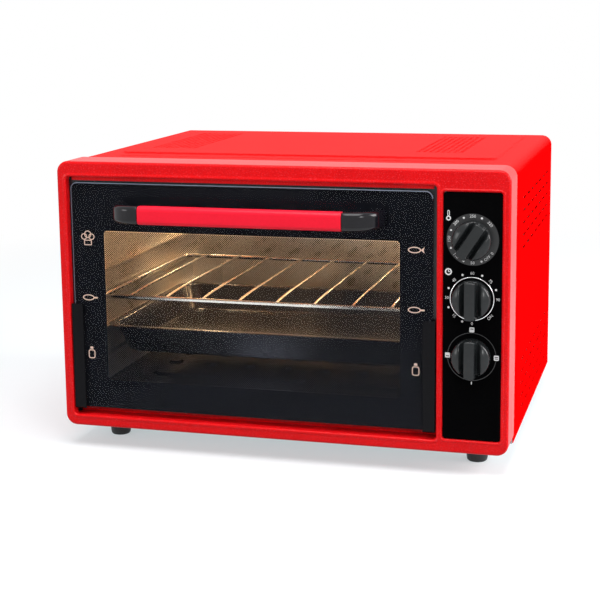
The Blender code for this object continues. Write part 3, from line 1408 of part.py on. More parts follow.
def door_bracket(side):
    """Channel round the glass's lower side edge, with the hinge's ear and boss."""
    edge, outward = hinge_span(side)
    web_in = edge + outward * SEAT_GAP
    web_out = web_in + outward * DOOR_BRACKET_WEB
    lip_in = edge - outward * DOOR_BRACKET_LIP
    front = DOOR_RECESS - SEAT_GAP - DOOR_BRACKET_SHEET
    back = GLASS_BACK + SEAT_GAP
    bm = bmesh.new()
    outline = [
        (web_out, front),
        (lip_in, front),
        (lip_in, front + DOOR_BRACKET_SHEET),
        (web_in, front + DOOR_BRACKET_SHEET),
        (web_in, back),
        (lip_in, back),
        (lip_in, back + DOOR_BRACKET_SHEET),
        (web_out, back + DOOR_BRACKET_SHEET),
    ]
    add_prism(bm, outline, "Z", (DOOR_BRACKET_BOTTOM, DOOR_BRACKET_TOP))
    bracket = make_piece(f"door_bracket_{side}", bm, "black_plastic", HINGE_POINT)
    room = bmesh.new()
    room_x = ordered(web_in, lip_in - outward * OVERRUN)
    room_z = (DOOR_BRACKET_BOTTOM - OVERRUN, DOOR_BRACKET_BACK_START)
    add_box(room, room_x, (back - SEAT_GAP / 2, back + OVERRUN), room_z)
    toe = DOOR_BRACKET_CHAMFER + OVERRUN
    low = DOOR_BRACKET_BOTTOM - OVERRUN
    outline = [
        (front - OVERRUN, low),
        (front + toe, low),
        (front - OVERRUN, DOOR_BRACKET_BOTTOM + toe),
    ]
    add_prism(room, outline, "X", (web_out + outward * OVERRUN, lip_in - outward * OVERRUN))
    apply_tool(bracket, room, pivot=HINGE_POINT)
    ear = bmesh.new()
    boss_end = web_out - outward * HINGE_BOSS_LENGTH
    add_cylinder(ear, "X", (HINGE_DEPTH, HINGE_HEIGHT), HINGE_BOSS_RADIUS, ordered(web_out, boss_end))
    apply_tool(bracket, ear, "UNION", HINGE_POINT)
    hole = bmesh.new()
    through = ordered(web_out + outward * OVERRUN, boss_end - outward * OVERRUN)
    radius = HINGE_PIN_RADIUS + HINGE_PIN_CLEARANCE
    add_cylinder(hole, "X", (HINGE_DEPTH, HINGE_HEIGHT), radius, through, SMALL_SIDES)
    apply_tool(bracket, hole, pivot=HINGE_POINT)


def hinge_bracket(side):
    """Tab on the cavity's front plate with the pin that carries one door bracket."""
    edge, outward = hinge_span(side)
    web_out = edge + outward * (SEAT_GAP + DOOR_BRACKET_WEB)
    tab_out = web_out - outward * (HINGE_BOSS_LENGTH + SEAT_GAP)
    tab_in = tab_out - outward * HINGE_TAB_THICKNESS
    seat = SILL_PLATE_FRONT - SEAT_GAP
    bm = bmesh.new()
    outline = [
        (tab_out, HINGE_DEPTH),
        (tab_out, seat),
        (tab_in - outward * HINGE_BOSS_LENGTH, seat),
        (tab_in - outward * HINGE_BOSS_LENGTH, seat - HINGE_TAB_THICKNESS),
        (tab_in, seat - HINGE_TAB_THICKNESS),
        (tab_in, HINGE_DEPTH),
    ]
    add_prism(bm, outline, "Z", centred(HINGE_HEIGHT, 2 * HINGE_TAB_RADIUS))
    bracket = make_piece(f"hinge_bracket_{side}", bm, "zinc_sheet")
    eye = bmesh.new()
    add_cylinder(eye, "X", (HINGE_DEPTH, HINGE_HEIGHT), HINGE_TAB_RADIUS, ordered(tab_out, tab_in))
    apply_tool(bracket, eye, "UNION")
    pin = bmesh.new()
    span = ordered(tab_in + outward * HINGE_TAB_THICKNESS / 2, web_out)
    add_cylinder(pin, "X", (HINGE_DEPTH, HINGE_HEIGHT), HINGE_PIN_RADIUS, span, SMALL_SIDES)
    apply_tool(bracket, pin, "UNION")


# Handle


def handle_foot_places():
    """Place across the door of each end of the handle where it meets the glass."""
    inset = HANDLE_SIDE_MARGIN + HANDLE_DEPTH / 2
    return (GLASS_LEFT + HANDLE_SHIFT + inset, GLASS_RIGHT + HANDLE_SHIFT - inset)


def handle_ring(centre, direction):
    """Section of the handle across a direction that lies level."""
    across = Vector((direction.y, -direction.x, 0))
    ring = []
    for side in range(HANDLE_SIDES):
        angle = 2 * math.pi * side / HANDLE_SIDES
        a = math.copysign(abs(math.cos(angle)) ** HANDLE_SQUARENESS, math.cos(angle))
        b = math.copysign(abs(math.sin(angle)) ** HANDLE_SQUARENESS, math.sin(angle))
        ring.append(centre + across * a * HANDLE_DEPTH / 2 + Vector((0, 0, b * HANDLE_HEIGHT / 2)))
    return ring


def handle():
    """Bar, its two curved ends and the screws through the glass."""
    depth = -HANDLE_REACH + HANDLE_DEPTH / 2
    bar_half = (GLASS_RIGHT - GLASS_LEFT) / 2 - HANDLE_SIDE_MARGIN - HANDLE_END_LENGTH
    bm = bmesh.new()
    rings = []
    middle = DOOR_CENTRE + HANDLE_SHIFT
    for x in (middle - bar_half, middle + bar_half):
        rings.append(handle_ring(Vector((x, depth, HANDLE_Z)), Vector((1, 0, 0))))
    add_loft(bm, rings)
    make_piece("handle_bar", bm, "red_gloss", HINGE_POINT)
    for side, foot in zip((-1, 1), handle_foot_places()):
        start = middle + side * (bar_half + SEAT_GAP)
        handle_end(side, start, foot, depth)
        length = HANDLE_SCREW_BITE + GLASS_THICKNESS + SEAT_GAP
        head = (HANDLE_HEAD_RADIUS, HANDLE_HEAD_HEIGHT)
        seat = GLASS_BACK + SEAT_GAP
        bm = bmesh.new()
        add_screw(bm, "Y", (foot, HANDLE_Z), seat, 1, head, (HANDLE_SCREW_RADIUS, length))
        name = "handle_screw_left" if side < 0 else "handle_screw_right"
        make_piece(name, bm, "chrome", HINGE_POINT)


def handle_end(side, start, foot, depth):
    """End that bends from the bar back to the glass."""
    bend = HANDLE_BEND_RADIUS
    centre = Vector((foot - side * bend, depth + bend, HANDLE_Z))
    rings = [handle_ring(Vector((start, depth, HANDLE_Z)), Vector((side, 0, 0)))]
    for step in range(HANDLE_BEND_STEPS + 1):
        angle = math.pi / 2 * step / HANDLE_BEND_STEPS
        place = centre + Vector((side * math.sin(angle), -math.cos(angle), 0)) * bend
        rings.append(handle_ring(place, Vector((side * math.cos(angle), math.sin(angle), 0))))
    rings.append(handle_ring(Vector((foot, DOOR_RECESS - SEAT_GAP, HANDLE_Z)), Vector((0, 1, 0))))
    bm = bmesh.new()
    add_loft(bm, rings)
    name = "handle_end_left" if side < 0 else "handle_end_right"
    piece = make_piece(name, bm, "black_plastic", HINGE_POINT)
    hole = bmesh.new()
    deepest = GLASS_BACK - GLASS_THICKNESS - HANDLE_SCREW_BITE - 2 * SEAT_GAP
    span = (deepest, DOOR_RECESS + OVERRUN)
    add_cylinder(hole, "Y", (foot, HANDLE_Z), hole_radius(HANDLE_SCREW_RADIUS), span, SMALL_SIDES)
    apply_tool(piece, hole, pivot=HINGE_POINT)


# Rack and tray


def wire_rack():
    """Welded rack: a round-cornered frame of thick wire with thin wires across it."""
    radius = RACK_FRAME_RADIUS
    height = rail_top(RACK_RAIL_LEVEL) + SEAT_GAP + radius
    left = CAVITY_LEFT + RACK_SIDE_GAP + radius
    right = CAVITY_RIGHT - RACK_SIDE_GAP - radius
    back = RACK_FRONT + RACK_DEPTH
    outline = rounded_rect((left, right), (RACK_FRONT, back), RACK_CORNER)
    middle = Vector(((left + right) / 2, (RACK_FRONT + back) / 2, height))
    rings = []
    count = len(outline)
    for index in range(count):
        place = Vector((*outline[index], height))
        before = Vector((*outline[index - 1], height))
        after = Vector((*outline[(index + 1) % count], height))
        along = (after - before).normalized()
        out = along.cross(Vector((0, 0, 1)))
        if out.dot(place - middle) < 0:
            out = -out
        ring = []
        for side in range(RACK_FRAME_SIDES):
            angle = 2 * math.pi * (side + 0.5) / RACK_FRAME_SIDES
            ring.append(place + out * radius * math.cos(angle) + Vector((0, 0, radius * math.sin(angle))))
        rings.append(ring)
    bm = bmesh.new()
    add_loft(bm, rings, closed=True)
    rack = make_piece("wire_rack", bm, "chrome", Vector((middle.x, middle.y, height)))
    wires = bmesh.new()
    level = height + radius - RACK_WIRE_RADIUS / 2
    for x in spread(left + RACK_WIRE_MARGIN, right - RACK_WIRE_MARGIN, RACK_WIRE_COUNT):
        add_cylinder(wires, "Y", (x, level), RACK_WIRE_RADIUS, (RACK_FRONT, back), RACK_WIRE_SIDES)
    apply_tool(rack, wires, "UNION", Vector((middle.x, middle.y, height)))


def baking_tray():
    """Deep tray whose rim rests on a pair of rails."""
    lip_low = rail_top(TRAY_RAIL_LEVEL) + SEAT_GAP
    lip_high = lip_low + TRAY_WALL
    left = CAVITY_LEFT + TRAY_SIDE_GAP
    right = CAVITY_RIGHT - TRAY_SIDE_GAP
    back = TRAY_FRONT + TRAY_DEPTH
    bottom = lip_high - TRAY_HEIGHT
    levels = [
        (TRAY_LIP + TRAY_DRAFT + TRAY_WALL, bottom + TRAY_WALL),
        (TRAY_LIP + TRAY_WALL, lip_high),
        (0, lip_high),
        (0, lip_low),
        (TRAY_LIP, lip_low),
        (TRAY_LIP + TRAY_DRAFT, bottom),
    ]
    rings = []
    for inset, level in levels:
        corner = TRAY_CORNER
        outline = rounded_rect((left + inset, right - inset), (TRAY_FRONT + inset, back - inset), corner)
        rings.append([spatial("Z", a, b, level) for a, b in outline])
    bm = bmesh.new()
    add_loft(bm, rings)
    centre = Vector(((left + right) / 2, (TRAY_FRONT + back) / 2, lip_low))
    make_piece("baking_tray", bm, "black_enamel", centre)


def build_oven():
    """Build every piece of the oven."""
    clear_scene()
    front_frame()
    outer_shell()
    back_panel()
    base_panel()
    cord_bushing()
    feet()
    cavity_front()
    cavity_sides()
    cavity_sheets()
    heaters()
    lamp()
    heat_shield()
    control_bracket()
    control_panel()
    controls()
    timer_ring()
    knobs()
    thermostat_bulb()
    terminal_block()
    wires()
    door_glass()
    for side in ("left", "right"):
        door_bracket(side)
        hinge_bracket(side)
    handle()
    wire_rack()
    baking_tray()


build_oven()
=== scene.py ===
"""Looks of a counter-top electric oven: red case, drop-down glass door, three knobs, rack and tray.

Shapes are written in millimetres in the oven's own frame: x to the right, y to the back and z up,
from the middle of the front frame's face, at the height of the base. A piece is moved to the row
frame, in metres, when it is made.
"""

import json
import logging
import math
from dataclasses import dataclass
from enum import Enum
from typing import Any, Iterable, Optional, Sequence

import bmesh
import bpy
from mathutils import Matrix, Vector

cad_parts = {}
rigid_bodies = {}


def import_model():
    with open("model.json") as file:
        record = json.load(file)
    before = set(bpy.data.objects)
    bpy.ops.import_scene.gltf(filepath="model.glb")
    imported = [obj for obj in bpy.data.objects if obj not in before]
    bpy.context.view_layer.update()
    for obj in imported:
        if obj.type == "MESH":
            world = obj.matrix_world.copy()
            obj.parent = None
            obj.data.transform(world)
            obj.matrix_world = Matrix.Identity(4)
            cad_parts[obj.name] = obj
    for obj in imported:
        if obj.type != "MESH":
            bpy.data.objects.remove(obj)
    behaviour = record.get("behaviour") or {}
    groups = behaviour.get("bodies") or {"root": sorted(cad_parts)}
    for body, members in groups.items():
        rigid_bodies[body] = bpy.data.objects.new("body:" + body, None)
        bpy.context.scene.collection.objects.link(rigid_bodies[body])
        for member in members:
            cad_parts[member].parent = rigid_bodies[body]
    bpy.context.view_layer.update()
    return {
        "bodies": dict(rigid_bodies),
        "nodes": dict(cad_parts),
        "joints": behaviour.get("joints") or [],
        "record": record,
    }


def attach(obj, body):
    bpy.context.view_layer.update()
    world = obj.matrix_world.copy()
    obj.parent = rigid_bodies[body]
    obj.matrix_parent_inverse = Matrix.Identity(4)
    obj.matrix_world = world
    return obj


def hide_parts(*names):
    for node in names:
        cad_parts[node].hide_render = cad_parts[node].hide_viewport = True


LOG = logging.getLogger("oven")
MM = 0.001
ORIGIN = Vector((0.0, -182.4, 25.0))

Point = Sequence[float]
Outline = list[tuple[float, float]]


class Body(Enum):
    """The CAD bodies that pieces ride on."""

    CASE = "case"
    DOOR = "door"
    THERMOSTAT = "thermostat_control"
    TIMER = "timer_control"
    SELECTOR = "selector_control"
    RACK = "rack"
    TRAY = "tray"


class Grain(Enum):
    """How a surface's fine detail runs."""

    EVEN = (1.0, 1.0, 1.0)
    ALONG_X = (0.04, 1.0, 1.0)
    ALONG_Y = (1.0, 0.04, 1.0)
    ALONG_Z = (1.0, 1.0, 0.04)


# Shader and geometry trees


class Wiring:
    """Short calls that add nodes to one tree and join them."""

    def __init__(self, tree: bpy.types.NodeTree) -> None:
        """Keeps the tree.

        Args:
            tree: the node tree to build in.
        """
        self.tree = tree

    def add(self, kind: str, inputs: Optional[dict] = None, **settings: Any) -> bpy.types.Node:
        """Adds a node, sets it and joins its inputs.

        Args:
            kind: the node's type name.
            inputs: values or output sockets by input name or number.
            settings: the node's own properties.

        Returns:
            The new node.
        """
        node = self.tree.nodes.new(kind)
        for name, value in settings.items():
            setattr(node, name, value)
        for name, value in (inputs or {}).items():
            socket = node.inputs[name]
            if isinstance(value, bpy.types.NodeSocket):
                self.tree.links.new(value, socket)
            else:
                socket.default_value = value
        return node

    def math(self, operation: str, *values: Any) -> bpy.types.NodeSocket:
        """Adds a Math node and returns its result."""
        return self.add("ShaderNodeMath", dict(enumerate(values)), operation=operation).outputs[0]

    def ramp(self, value: Any, low: float, high: float, to: tuple[float, float] = (0, 1)) -> bpy.types.NodeSocket:
        """Adds a clamped Map Range node and returns its result."""
        inputs = {0: value, 1: low, 2: high, 3: to[0], 4: to[1]}
        return self.add("ShaderNodeMapRange", inputs, clamp=True).outputs[0]

    def blend(self, factor: Any, one: Any, two: Any, kind: str = "MIX") -> bpy.types.NodeSocket:
        """Adds a colour Mix node and returns its result."""
        node = self.add("ShaderNodeMix", {0: factor, 6: one, 7: two}, data_type="RGBA", blend_type=kind)
        return node.outputs[2]


def effect(name: str, inputs: dict[str, tuple[str, Any]], outputs: dict[str, str]) -> tuple[Any, bool]:
    """Finds or starts a shader node group with named inputs and outputs.

    Args:
        name: the group's name.
        inputs: socket kind and first value by name.
        outputs: socket kind by name.

    Returns:
        The group's tree, and whether it still has to be built.
    """
    tree = bpy.data.node_groups.get(name)
    if tree:
        return tree, False
    tree = bpy.data.node_groups.new(name, "ShaderNodeTree")
    for label, (kind, value) in inputs.items():
        tree.interface.new_socket(label, in_out="INPUT", socket_type=kind).default_value = value
    for label, kind in outputs.items():
        tree.interface.new_socket(label, in_out="OUTPUT", socket_type=kind)
    return tree, True


NUMBER, COLOUR, VECTOR = "NodeSocketFloat", "NodeSocketColor", "NodeSocketVector"


def surface_grain() -> bpy.types.NodeTree:
    """Builds the group for fine grain: two colours, roughness and height from noise.

    Returns:
        The node group.
    """
    tree, new = effect(
        "surface_grain",
        {
            "Colour": (COLOUR, (0.5, 0.5, 0.5, 1)), "Shade": (COLOUR, (0.4, 0.4, 0.4, 1)),
            "Amount": (NUMBER, 0.5), "Scale": (NUMBER, 500.0), "Detail": (NUMBER, 2.0),
            "Roughness": (NUMBER, 0.4), "Spread": (NUMBER, 0.05), "Stretch": (VECTOR, (1, 1, 1)),
        },
        {"Colour": COLOUR, "Roughness": NUMBER, "Height": NUMBER},
    )
    if new:
        w = Wiring(tree)
        start = w.add("NodeGroupInput").outputs
        place = w.add("ShaderNodeTexCoord").outputs["Object"]
        run = w.add("ShaderNodeMapping", {"Vector": place, "Scale": start["Stretch"]}).outputs[0]
        fine = w.add("ShaderNodeTexNoise", {"Vector": run, "Scale": start["Scale"], "Detail": start["Detail"]})
        broad = w.add("ShaderNodeTexNoise", {"Vector": place, "Scale": 22.0, "Detail": 3.0})
        both = w.math("ADD", w.math("MULTIPLY", fine.outputs[0], 0.6), w.math("MULTIPLY", broad.outputs[0], 0.4))
        share = w.math("MULTIPLY", w.ramp(both, 0.38, 0.62), start["Amount"])
        low = w.math("SUBTRACT", start["Roughness"], start["Spread"])
        rough = w.math("ADD", low, w.math("MULTIPLY", w.math("MULTIPLY", both, 2.0), start["Spread"]))
        ends = {0: w.blend(share, start["Colour"], start["Shade"]), 1: rough, 2: fine.outputs[0]}
        w.add("NodeGroupOutput", ends)
    return tree


def flecks() -> bpy.types.NodeTree:
    """Builds the group for bright specks in a textured moulding.

    Returns:
        The node group.
    """
    tree, new = effect(
        "flecks",
        {
            "Colour": (COLOUR, (0.5, 0.5, 0.5, 1)), "Fleck": (COLOUR, (0.8, 0.8, 0.8, 1)),
            "Scale": (NUMBER, 800.0), "Cover": (NUMBER, 0.3), "Strength": (NUMBER, 0.5),
        },
        {"Colour": COLOUR, "Height": NUMBER},
    )
    if new:
        w = Wiring(tree)
        start = w.add("NodeGroupInput").outputs
        place = w.add("ShaderNodeTexCoord").outputs["Object"]
        fine = w.add("ShaderNodeTexNoise", {"Vector": place, "Scale": start["Scale"], "Detail": 2.0})
        edge = w.math("SUBTRACT", 0.75, w.math("MULTIPLY", start["Cover"], 0.5))
        mask = w.math("MULTIPLY", w.math("SUBTRACT", fine.outputs[0], edge), 9.0)
        share = w.math("MULTIPLY", w.ramp(mask, 0, 1), start["Strength"])
        w.add("NodeGroupOutput", {0: w.blend(share, start["Colour"], start["Fleck"]), 1: fine.outputs[0]})
    return tree


def heat_tint() -> bpy.types.NodeTree:
    """Builds the group for the straw and bronze tints that heat leaves on metal.

    Returns:
        The node group.
    """
    tree, new = effect(
        "heat_tint",
        {"Colour": (COLOUR, (0.5, 0.5, 0.5, 1)), "Tint": (COLOUR, (0.6, 0.4, 0.2, 1)), "Amount": (NUMBER, 0.5)},
        {"Colour": COLOUR, "Mask": NUMBER},
    )
    if new:
        w = Wiring(tree)
        start = w.add("NodeGroupInput").outputs
        place = w.add("ShaderNodeTexCoord").outputs["Object"]
        cloud = w.add("ShaderNodeTexNoise", {"Vector": place, "Scale": 9.0, "Detail": 4.0})
        mask = w.ramp(cloud.outputs[0], 0.35, 0.7)
        share = w.math("MULTIPLY", mask, start["Amount"])
        w.add("NodeGroupOutput", {0: w.blend(share, start["Colour"], start["Tint"]), 1: mask})
    return tree


@dataclass(frozen=True)
class Finish:
    """A surface's colour, gloss and close-up grain, and the record's slot it belongs to."""

    name: str
    slot: str
    colour: tuple[float, float, float]
    shade: tuple[float, float, float]
    rough: float
    spread: float = 0.05
    amount: float = 0.5
    scale: float = 500.0
    detail: float = 2.0
    relief: float = 0.00002
    metal: float = 0.0
    coat: float = 0.0
    coat_rough: float = 0.05
    specular: float = 0.5
    run: Grain = Grain.EVEN
    fleck: Optional[tuple[float, float, float]] = None
    fleck_scale: float = 800.0
    fleck_cover: float = 0.3
    fleck_strength: float = 0.5
    tint: Optional[tuple[float, float, float]] = None
    tint_amount: float = 0.4
    glow: float = 0.0
    clear: bool = False
    ior: float = 1.5
    # Coat on upward faces only: a painted sheen on the top, standing in for the light that fell there.
    top_painted_sheen: float = 0.0

    def material(self) -> bpy.types.Material:
        """Builds the material once and finds it again after that.

        The name has an ending of its own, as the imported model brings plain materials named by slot.

        Returns:
            The material.
        """
        name = f"{self.name}_finish"
        found = bpy.data.materials.get(name)
        if found:
            return found
        made = bpy.data.materials.new(name)
        made.use_nodes = True
        made.diffuse_color = (*self.colour, 1)
        made.node_tree.nodes.clear()
        w = Wiring(made.node_tree)
        grain = w.add("ShaderNodeGroup", node_tree=surface_grain())
        self.fill(grain, {
            "Colour": (*self.colour, 1), "Shade": (*self.shade, 1), "Amount": self.amount, "Scale": self.scale,
            "Detail": self.detail, "Roughness": self.rough, "Spread": self.spread, "Stretch": self.run.value,
        })
        colour, height = grain.outputs["Colour"], grain.outputs["Height"]
        if self.fleck:
            speck = w.add("ShaderNodeGroup", {}, node_tree=flecks())
            self.fill(speck, {"Fleck": (*self.fleck, 1), "Scale": self.fleck_scale,
                              "Cover": self.fleck_cover, "Strength": self.fleck_strength})
            made.node_tree.links.new(colour, speck.inputs["Colour"])
            colour, height = speck.outputs["Colour"], speck.outputs["Height"]
        shader = w.add("ShaderNodeBsdfPrincipled")
        if self.tint:
            heat = w.add("ShaderNodeGroup", node_tree=heat_tint())
            self.fill(heat, {"Tint": (*self.tint, 1), "Amount": self.tint_amount})
            made.node_tree.links.new(colour, heat.inputs["Colour"])
            colour = heat.outputs["Colour"]
        bump = w.add("ShaderNodeBump", {"Height": height, "Distance": self.relief, "Strength": 1.0})
        links = made.node_tree.links
        links.new(colour, shader.inputs["Base Color"])
        links.new(grain.outputs["Roughness"], shader.inputs["Roughness"])
        links.new(bump.outputs[0], shader.inputs["Normal"])
        self.fill(shader, {
            "Metallic": self.metal, "Coat Weight": self.coat, "Coat Roughness": self.coat_rough,
            "Specular IOR Level": self.specular, "Transmission Weight": 1.0 if self.clear else 0.0, "IOR": self.ior,
        })
        # Painted sheen: coat only on faces that look up, so the top reflects more than the sides, standing in for the
        # light that fell on the top.
        if self.top_painted_sheen:
            up = w.add("ShaderNodeSeparateXYZ", {0: w.add("ShaderNodeTexCoord").outputs["Normal"]}).outputs[2]
            links.new(w.ramp(up, 0.3, 0.95, (0.0, self.top_painted_sheen)), shader.inputs["Coat Weight"])
        if self.glow:
            links.new(colour, shader.inputs["Emission Color"])
            shader.inputs["Emission Strength"].default_value = self.glow
        surface = shader.outputs[0]
        if self.clear:
            through = w.add("ShaderNodeBsdfTransparent", {"Color": (0.85, 0.87, 0.87, 1)}).outputs[0]
            shadow = w.add("ShaderNodeLightPath").outputs["Is Shadow Ray"]
            surface = w.add("ShaderNodeMixShader", {0: shadow, 1: surface, 2: through}).outputs[0]
        w.add("ShaderNodeOutputMaterial", {"Surface": surface})
        return made

    @staticmethod
    def fill(node: bpy.types.Node, values: dict[str, Any]) -> None:
        """Sets the node's unlinked inputs by name."""
        for name, value in values.items():
            node.inputs[name].default_value = value


RED = (0.88, 0.0012, 0.0016)
# The shell's top has a painted sheen: extra coat on upward faces only.
SHELL_RED = Finish("shell_red", "shell_red", RED, (0.80, 0.0010, 0.0016), 0.34, scale=260, relief=0.00003,
                   amount=0.6, specular=0.0, top_painted_sheen=0.16, coat_rough=0.25)
FRAME_RED = Finish("frame_red", "frame_red", (0.80, 0.002, 0.004), (0.58, 0.001, 0.003), 0.34, scale=700,
                   relief=0.00004, specular=0.10, amount=0.6, fleck=(0.92, 0.10, 0.13), fleck_scale=900,
                   fleck_cover=0.35, fleck_strength=0.35, coat=0.10, coat_rough=0.15)
HANDLE_RED = Finish("handle_red", "handle_red", (0.95, 0.010, 0.035), (0.88, 0.008, 0.030), 0.3, scale=300,
                    relief=0.00001, specular=0.2)
GLOSS_BLACK = Finish("handle_black", "handle_black", (0.005, 0.005, 0.007), (0.008, 0.008, 0.011), 0.14,
                     scale=300, relief=0.000008, specular=0.25, coat=0.15)
TRIM_BLACK = Finish("trim_black", "trim_black", (0.004, 0.004, 0.005), (0.006, 0.006, 0.008), 0.25, scale=400,
                    relief=0.00001, specular=0.08)
PANEL_BLACK = Finish("panel_black", "panel_black", (0.0020, 0.0020, 0.0022), (0.0032, 0.0032, 0.0036), 0.25,
                     scale=500, relief=0.000006, specular=0.0)
KNOB_BLACK = Finish("knob_black", "knob_black", (0.012, 0.014, 0.015), (0.018, 0.020, 0.021), 0.25, scale=180,
                    relief=0.00001, specular=0.25, coat=0.12, coat_rough=0.1)
DISC_GREY = Finish("dial_disc_grey", "panel_black", (0.011, 0.011, 0.012), (0.014, 0.014, 0.015), 0.35, scale=600)
ENAMEL = Finish("enamel_black", "enamel_black", (0.010, 0.010, 0.012), (0.018, 0.018, 0.022), 0.2, scale=220,
                relief=0.00002, fleck=(0.022, 0.024, 0.028), fleck_scale=1500, fleck_cover=0.1, specular=0.3, coat=0.1)
CAVITY = Finish("cavity_steel", "cavity_steel", (0.66, 0.62, 0.56), (0.52, 0.48, 0.42), 0.32, spread=0.1,
                scale=500, relief=0.00002, metal=0.9, run=Grain.ALONG_Y, tint=(0.62, 0.42, 0.20), tint_amount=0.35)
ZINC = Finish("zinc_sheet", "zinc_sheet", (0.52, 0.53, 0.54), (0.38, 0.39, 0.41), 0.42, spread=0.12, scale=90,
              detail=1.0, relief=0.00001, metal=0.9)
TURNED = Finish("shaft_steel", "shaft_steel", (0.6, 0.6, 0.6), (0.45, 0.45, 0.45), 0.3, scale=900, metal=1.0,
                run=Grain.ALONG_X)
SCREW = Finish("screw_steel", "screw_steel", (0.62, 0.62, 0.60), (0.48, 0.48, 0.46), 0.3, scale=700, metal=1.0)
CHROME = Finish("chrome", "chrome", (0.82, 0.82, 0.83), (0.76, 0.76, 0.78), 0.08, spread=0.03, scale=300,
                relief=0.000004, metal=1.0)
RACK_STEEL = Finish("rack_chrome", "chrome", (0.80, 0.79, 0.77), (0.68, 0.66, 0.62), 0.16, spread=0.05,
                    scale=300, relief=0.000008, metal=1.0, tint=(0.7, 0.55, 0.35), tint_amount=0.2)
SHEATH = Finish("heater_sheath", "heater_sheath", (0.16, 0.15, 0.14), (0.10, 0.09, 0.09), 0.5, scale=600,
                metal=0.6, tint=(0.22, 0.12, 0.06), tint_amount=0.5)
HOT_SHEATH = Finish("heater_glow", "heater_sheath", (0.85, 0.20, 0.03), (0.55, 0.10, 0.02), 0.5, scale=200,
                    metal=0.2, glow=1.6)
CERAMIC = Finish("ceramic", "ceramic", (0.80, 0.78, 0.72), (0.70, 0.67, 0.60), 0.6, scale=900, relief=0.00003)
COPPER = Finish("copper", "copper", (0.70, 0.34, 0.20), (0.50, 0.24, 0.15), 0.32, scale=500, metal=1.0)
WIRE = Finish("wire_cover", "wire_cover", (0.72, 0.69, 0.58), (0.62, 0.58, 0.48), 0.6, scale=800)
PALE = Finish("pale_plastic", "pale_plastic", (0.68, 0.66, 0.60), (0.60, 0.58, 0.52), 0.5, scale=700)
RUBBER = Finish("black_rubber", "black_rubber", (0.010, 0.010, 0.011), (0.022, 0.022, 0.023), 0.5, scale=700,
                relief=0.00004)
LAMP_GLASS = Finish("lamp_glass", "lamp_glass", (0.95, 0.94, 0.92), (0.90, 0.89, 0.86), 0.06, spread=0.02,
                    scale=60, relief=0.0001, clear=True)
DOOR_GLASS = Finish("door_pane", "door_glass", (0.97, 0.98, 0.98), (0.95, 0.97, 0.97), 0.02, spread=0.01,
                    scale=3, relief=0.0000005, clear=True, specular=0.5, ior=1.10)
PRINT_BLACK = Finish("door_print", "door_glass", (0.0040, 0.0042, 0.0060), (0.0050, 0.0055, 0.0075), 0.45,
                     scale=600, relief=0.000004, specular=0.0)
# Painted highlight colour for the pane's top and left bevel, in place of the lamps' reflection there.
PAINTED_EDGE_HIGHLIGHT = Finish("painted_edge_highlight", "door_glass", (0.13, 0.16, 0.22), (0.07, 0.09, 0.13), 0.4,
                     scale=700, relief=0.00003, specular=0.5)
PRINT_WHITE = Finish("dial_print", "panel_black", (0.80, 0.80, 0.80), (0.70, 0.70, 0.70), 0.5, scale=1500)
PRINT_COPPER = Finish("copper_print", "door_glass", (0.72, 0.52, 0.42), (0.60, 0.42, 0.32), 0.45, scale=1500)

SLOT_FINISHES = {f.slot: f for f in (
    SHELL_RED, FRAME_RED, HANDLE_RED, GLOSS_BLACK, TRIM_BLACK, PANEL_BLACK, KNOB_BLACK, ENAMEL, CAVITY, ZINC,
    TURNED, SCREW, CHROME, SHEATH, CERAMIC, COPPER, WIRE, PALE, RUBBER, LAMP_GLASS, DOOR_GLASS)}


# Making meshes


def in_row(point: Point) -> Vector:
    """Returns the point in the row frame, in metres."""
    return (Vector(point) + ORIGIN) * MM


def rounded(x0: float, x1: float, z0: float, z1: float, radius: float, steps: int = 6) -> Outline:
    """Outlines a rectangle with round corners.

    Args:
        x0: left side.
        x1: right side.
        z0: lower side.
        z1: upper side.
        radius: the corners' radius.
        steps: faces round each corner.

    Returns:
        The outline's points, anticlockwise from the right.
    """
    points = []
    corners = ((x1, z1, 0), (x0, z1, 90), (x0, z0, 180), (x1, z0, 270))
    for x, z, start in corners:
        cx = x - radius if x == x1 else x + radius
        cz = z - radius if z == z1 else z + radius
        for step in range(steps + 1):
            turn = math.radians(start + 90 * step / steps)
            points.append((cx + radius * math.cos(turn), cz + radius * math.sin(turn)))
    return points


def smoothstep(value: float, low: float, high: float) -> float:
    """Returns 0 below low, 1 above high, and a smooth rise between them."""
    t = min(max((value - low) / (high - low), 0.0), 1.0)
    return t * t * (3 - 2 * t)


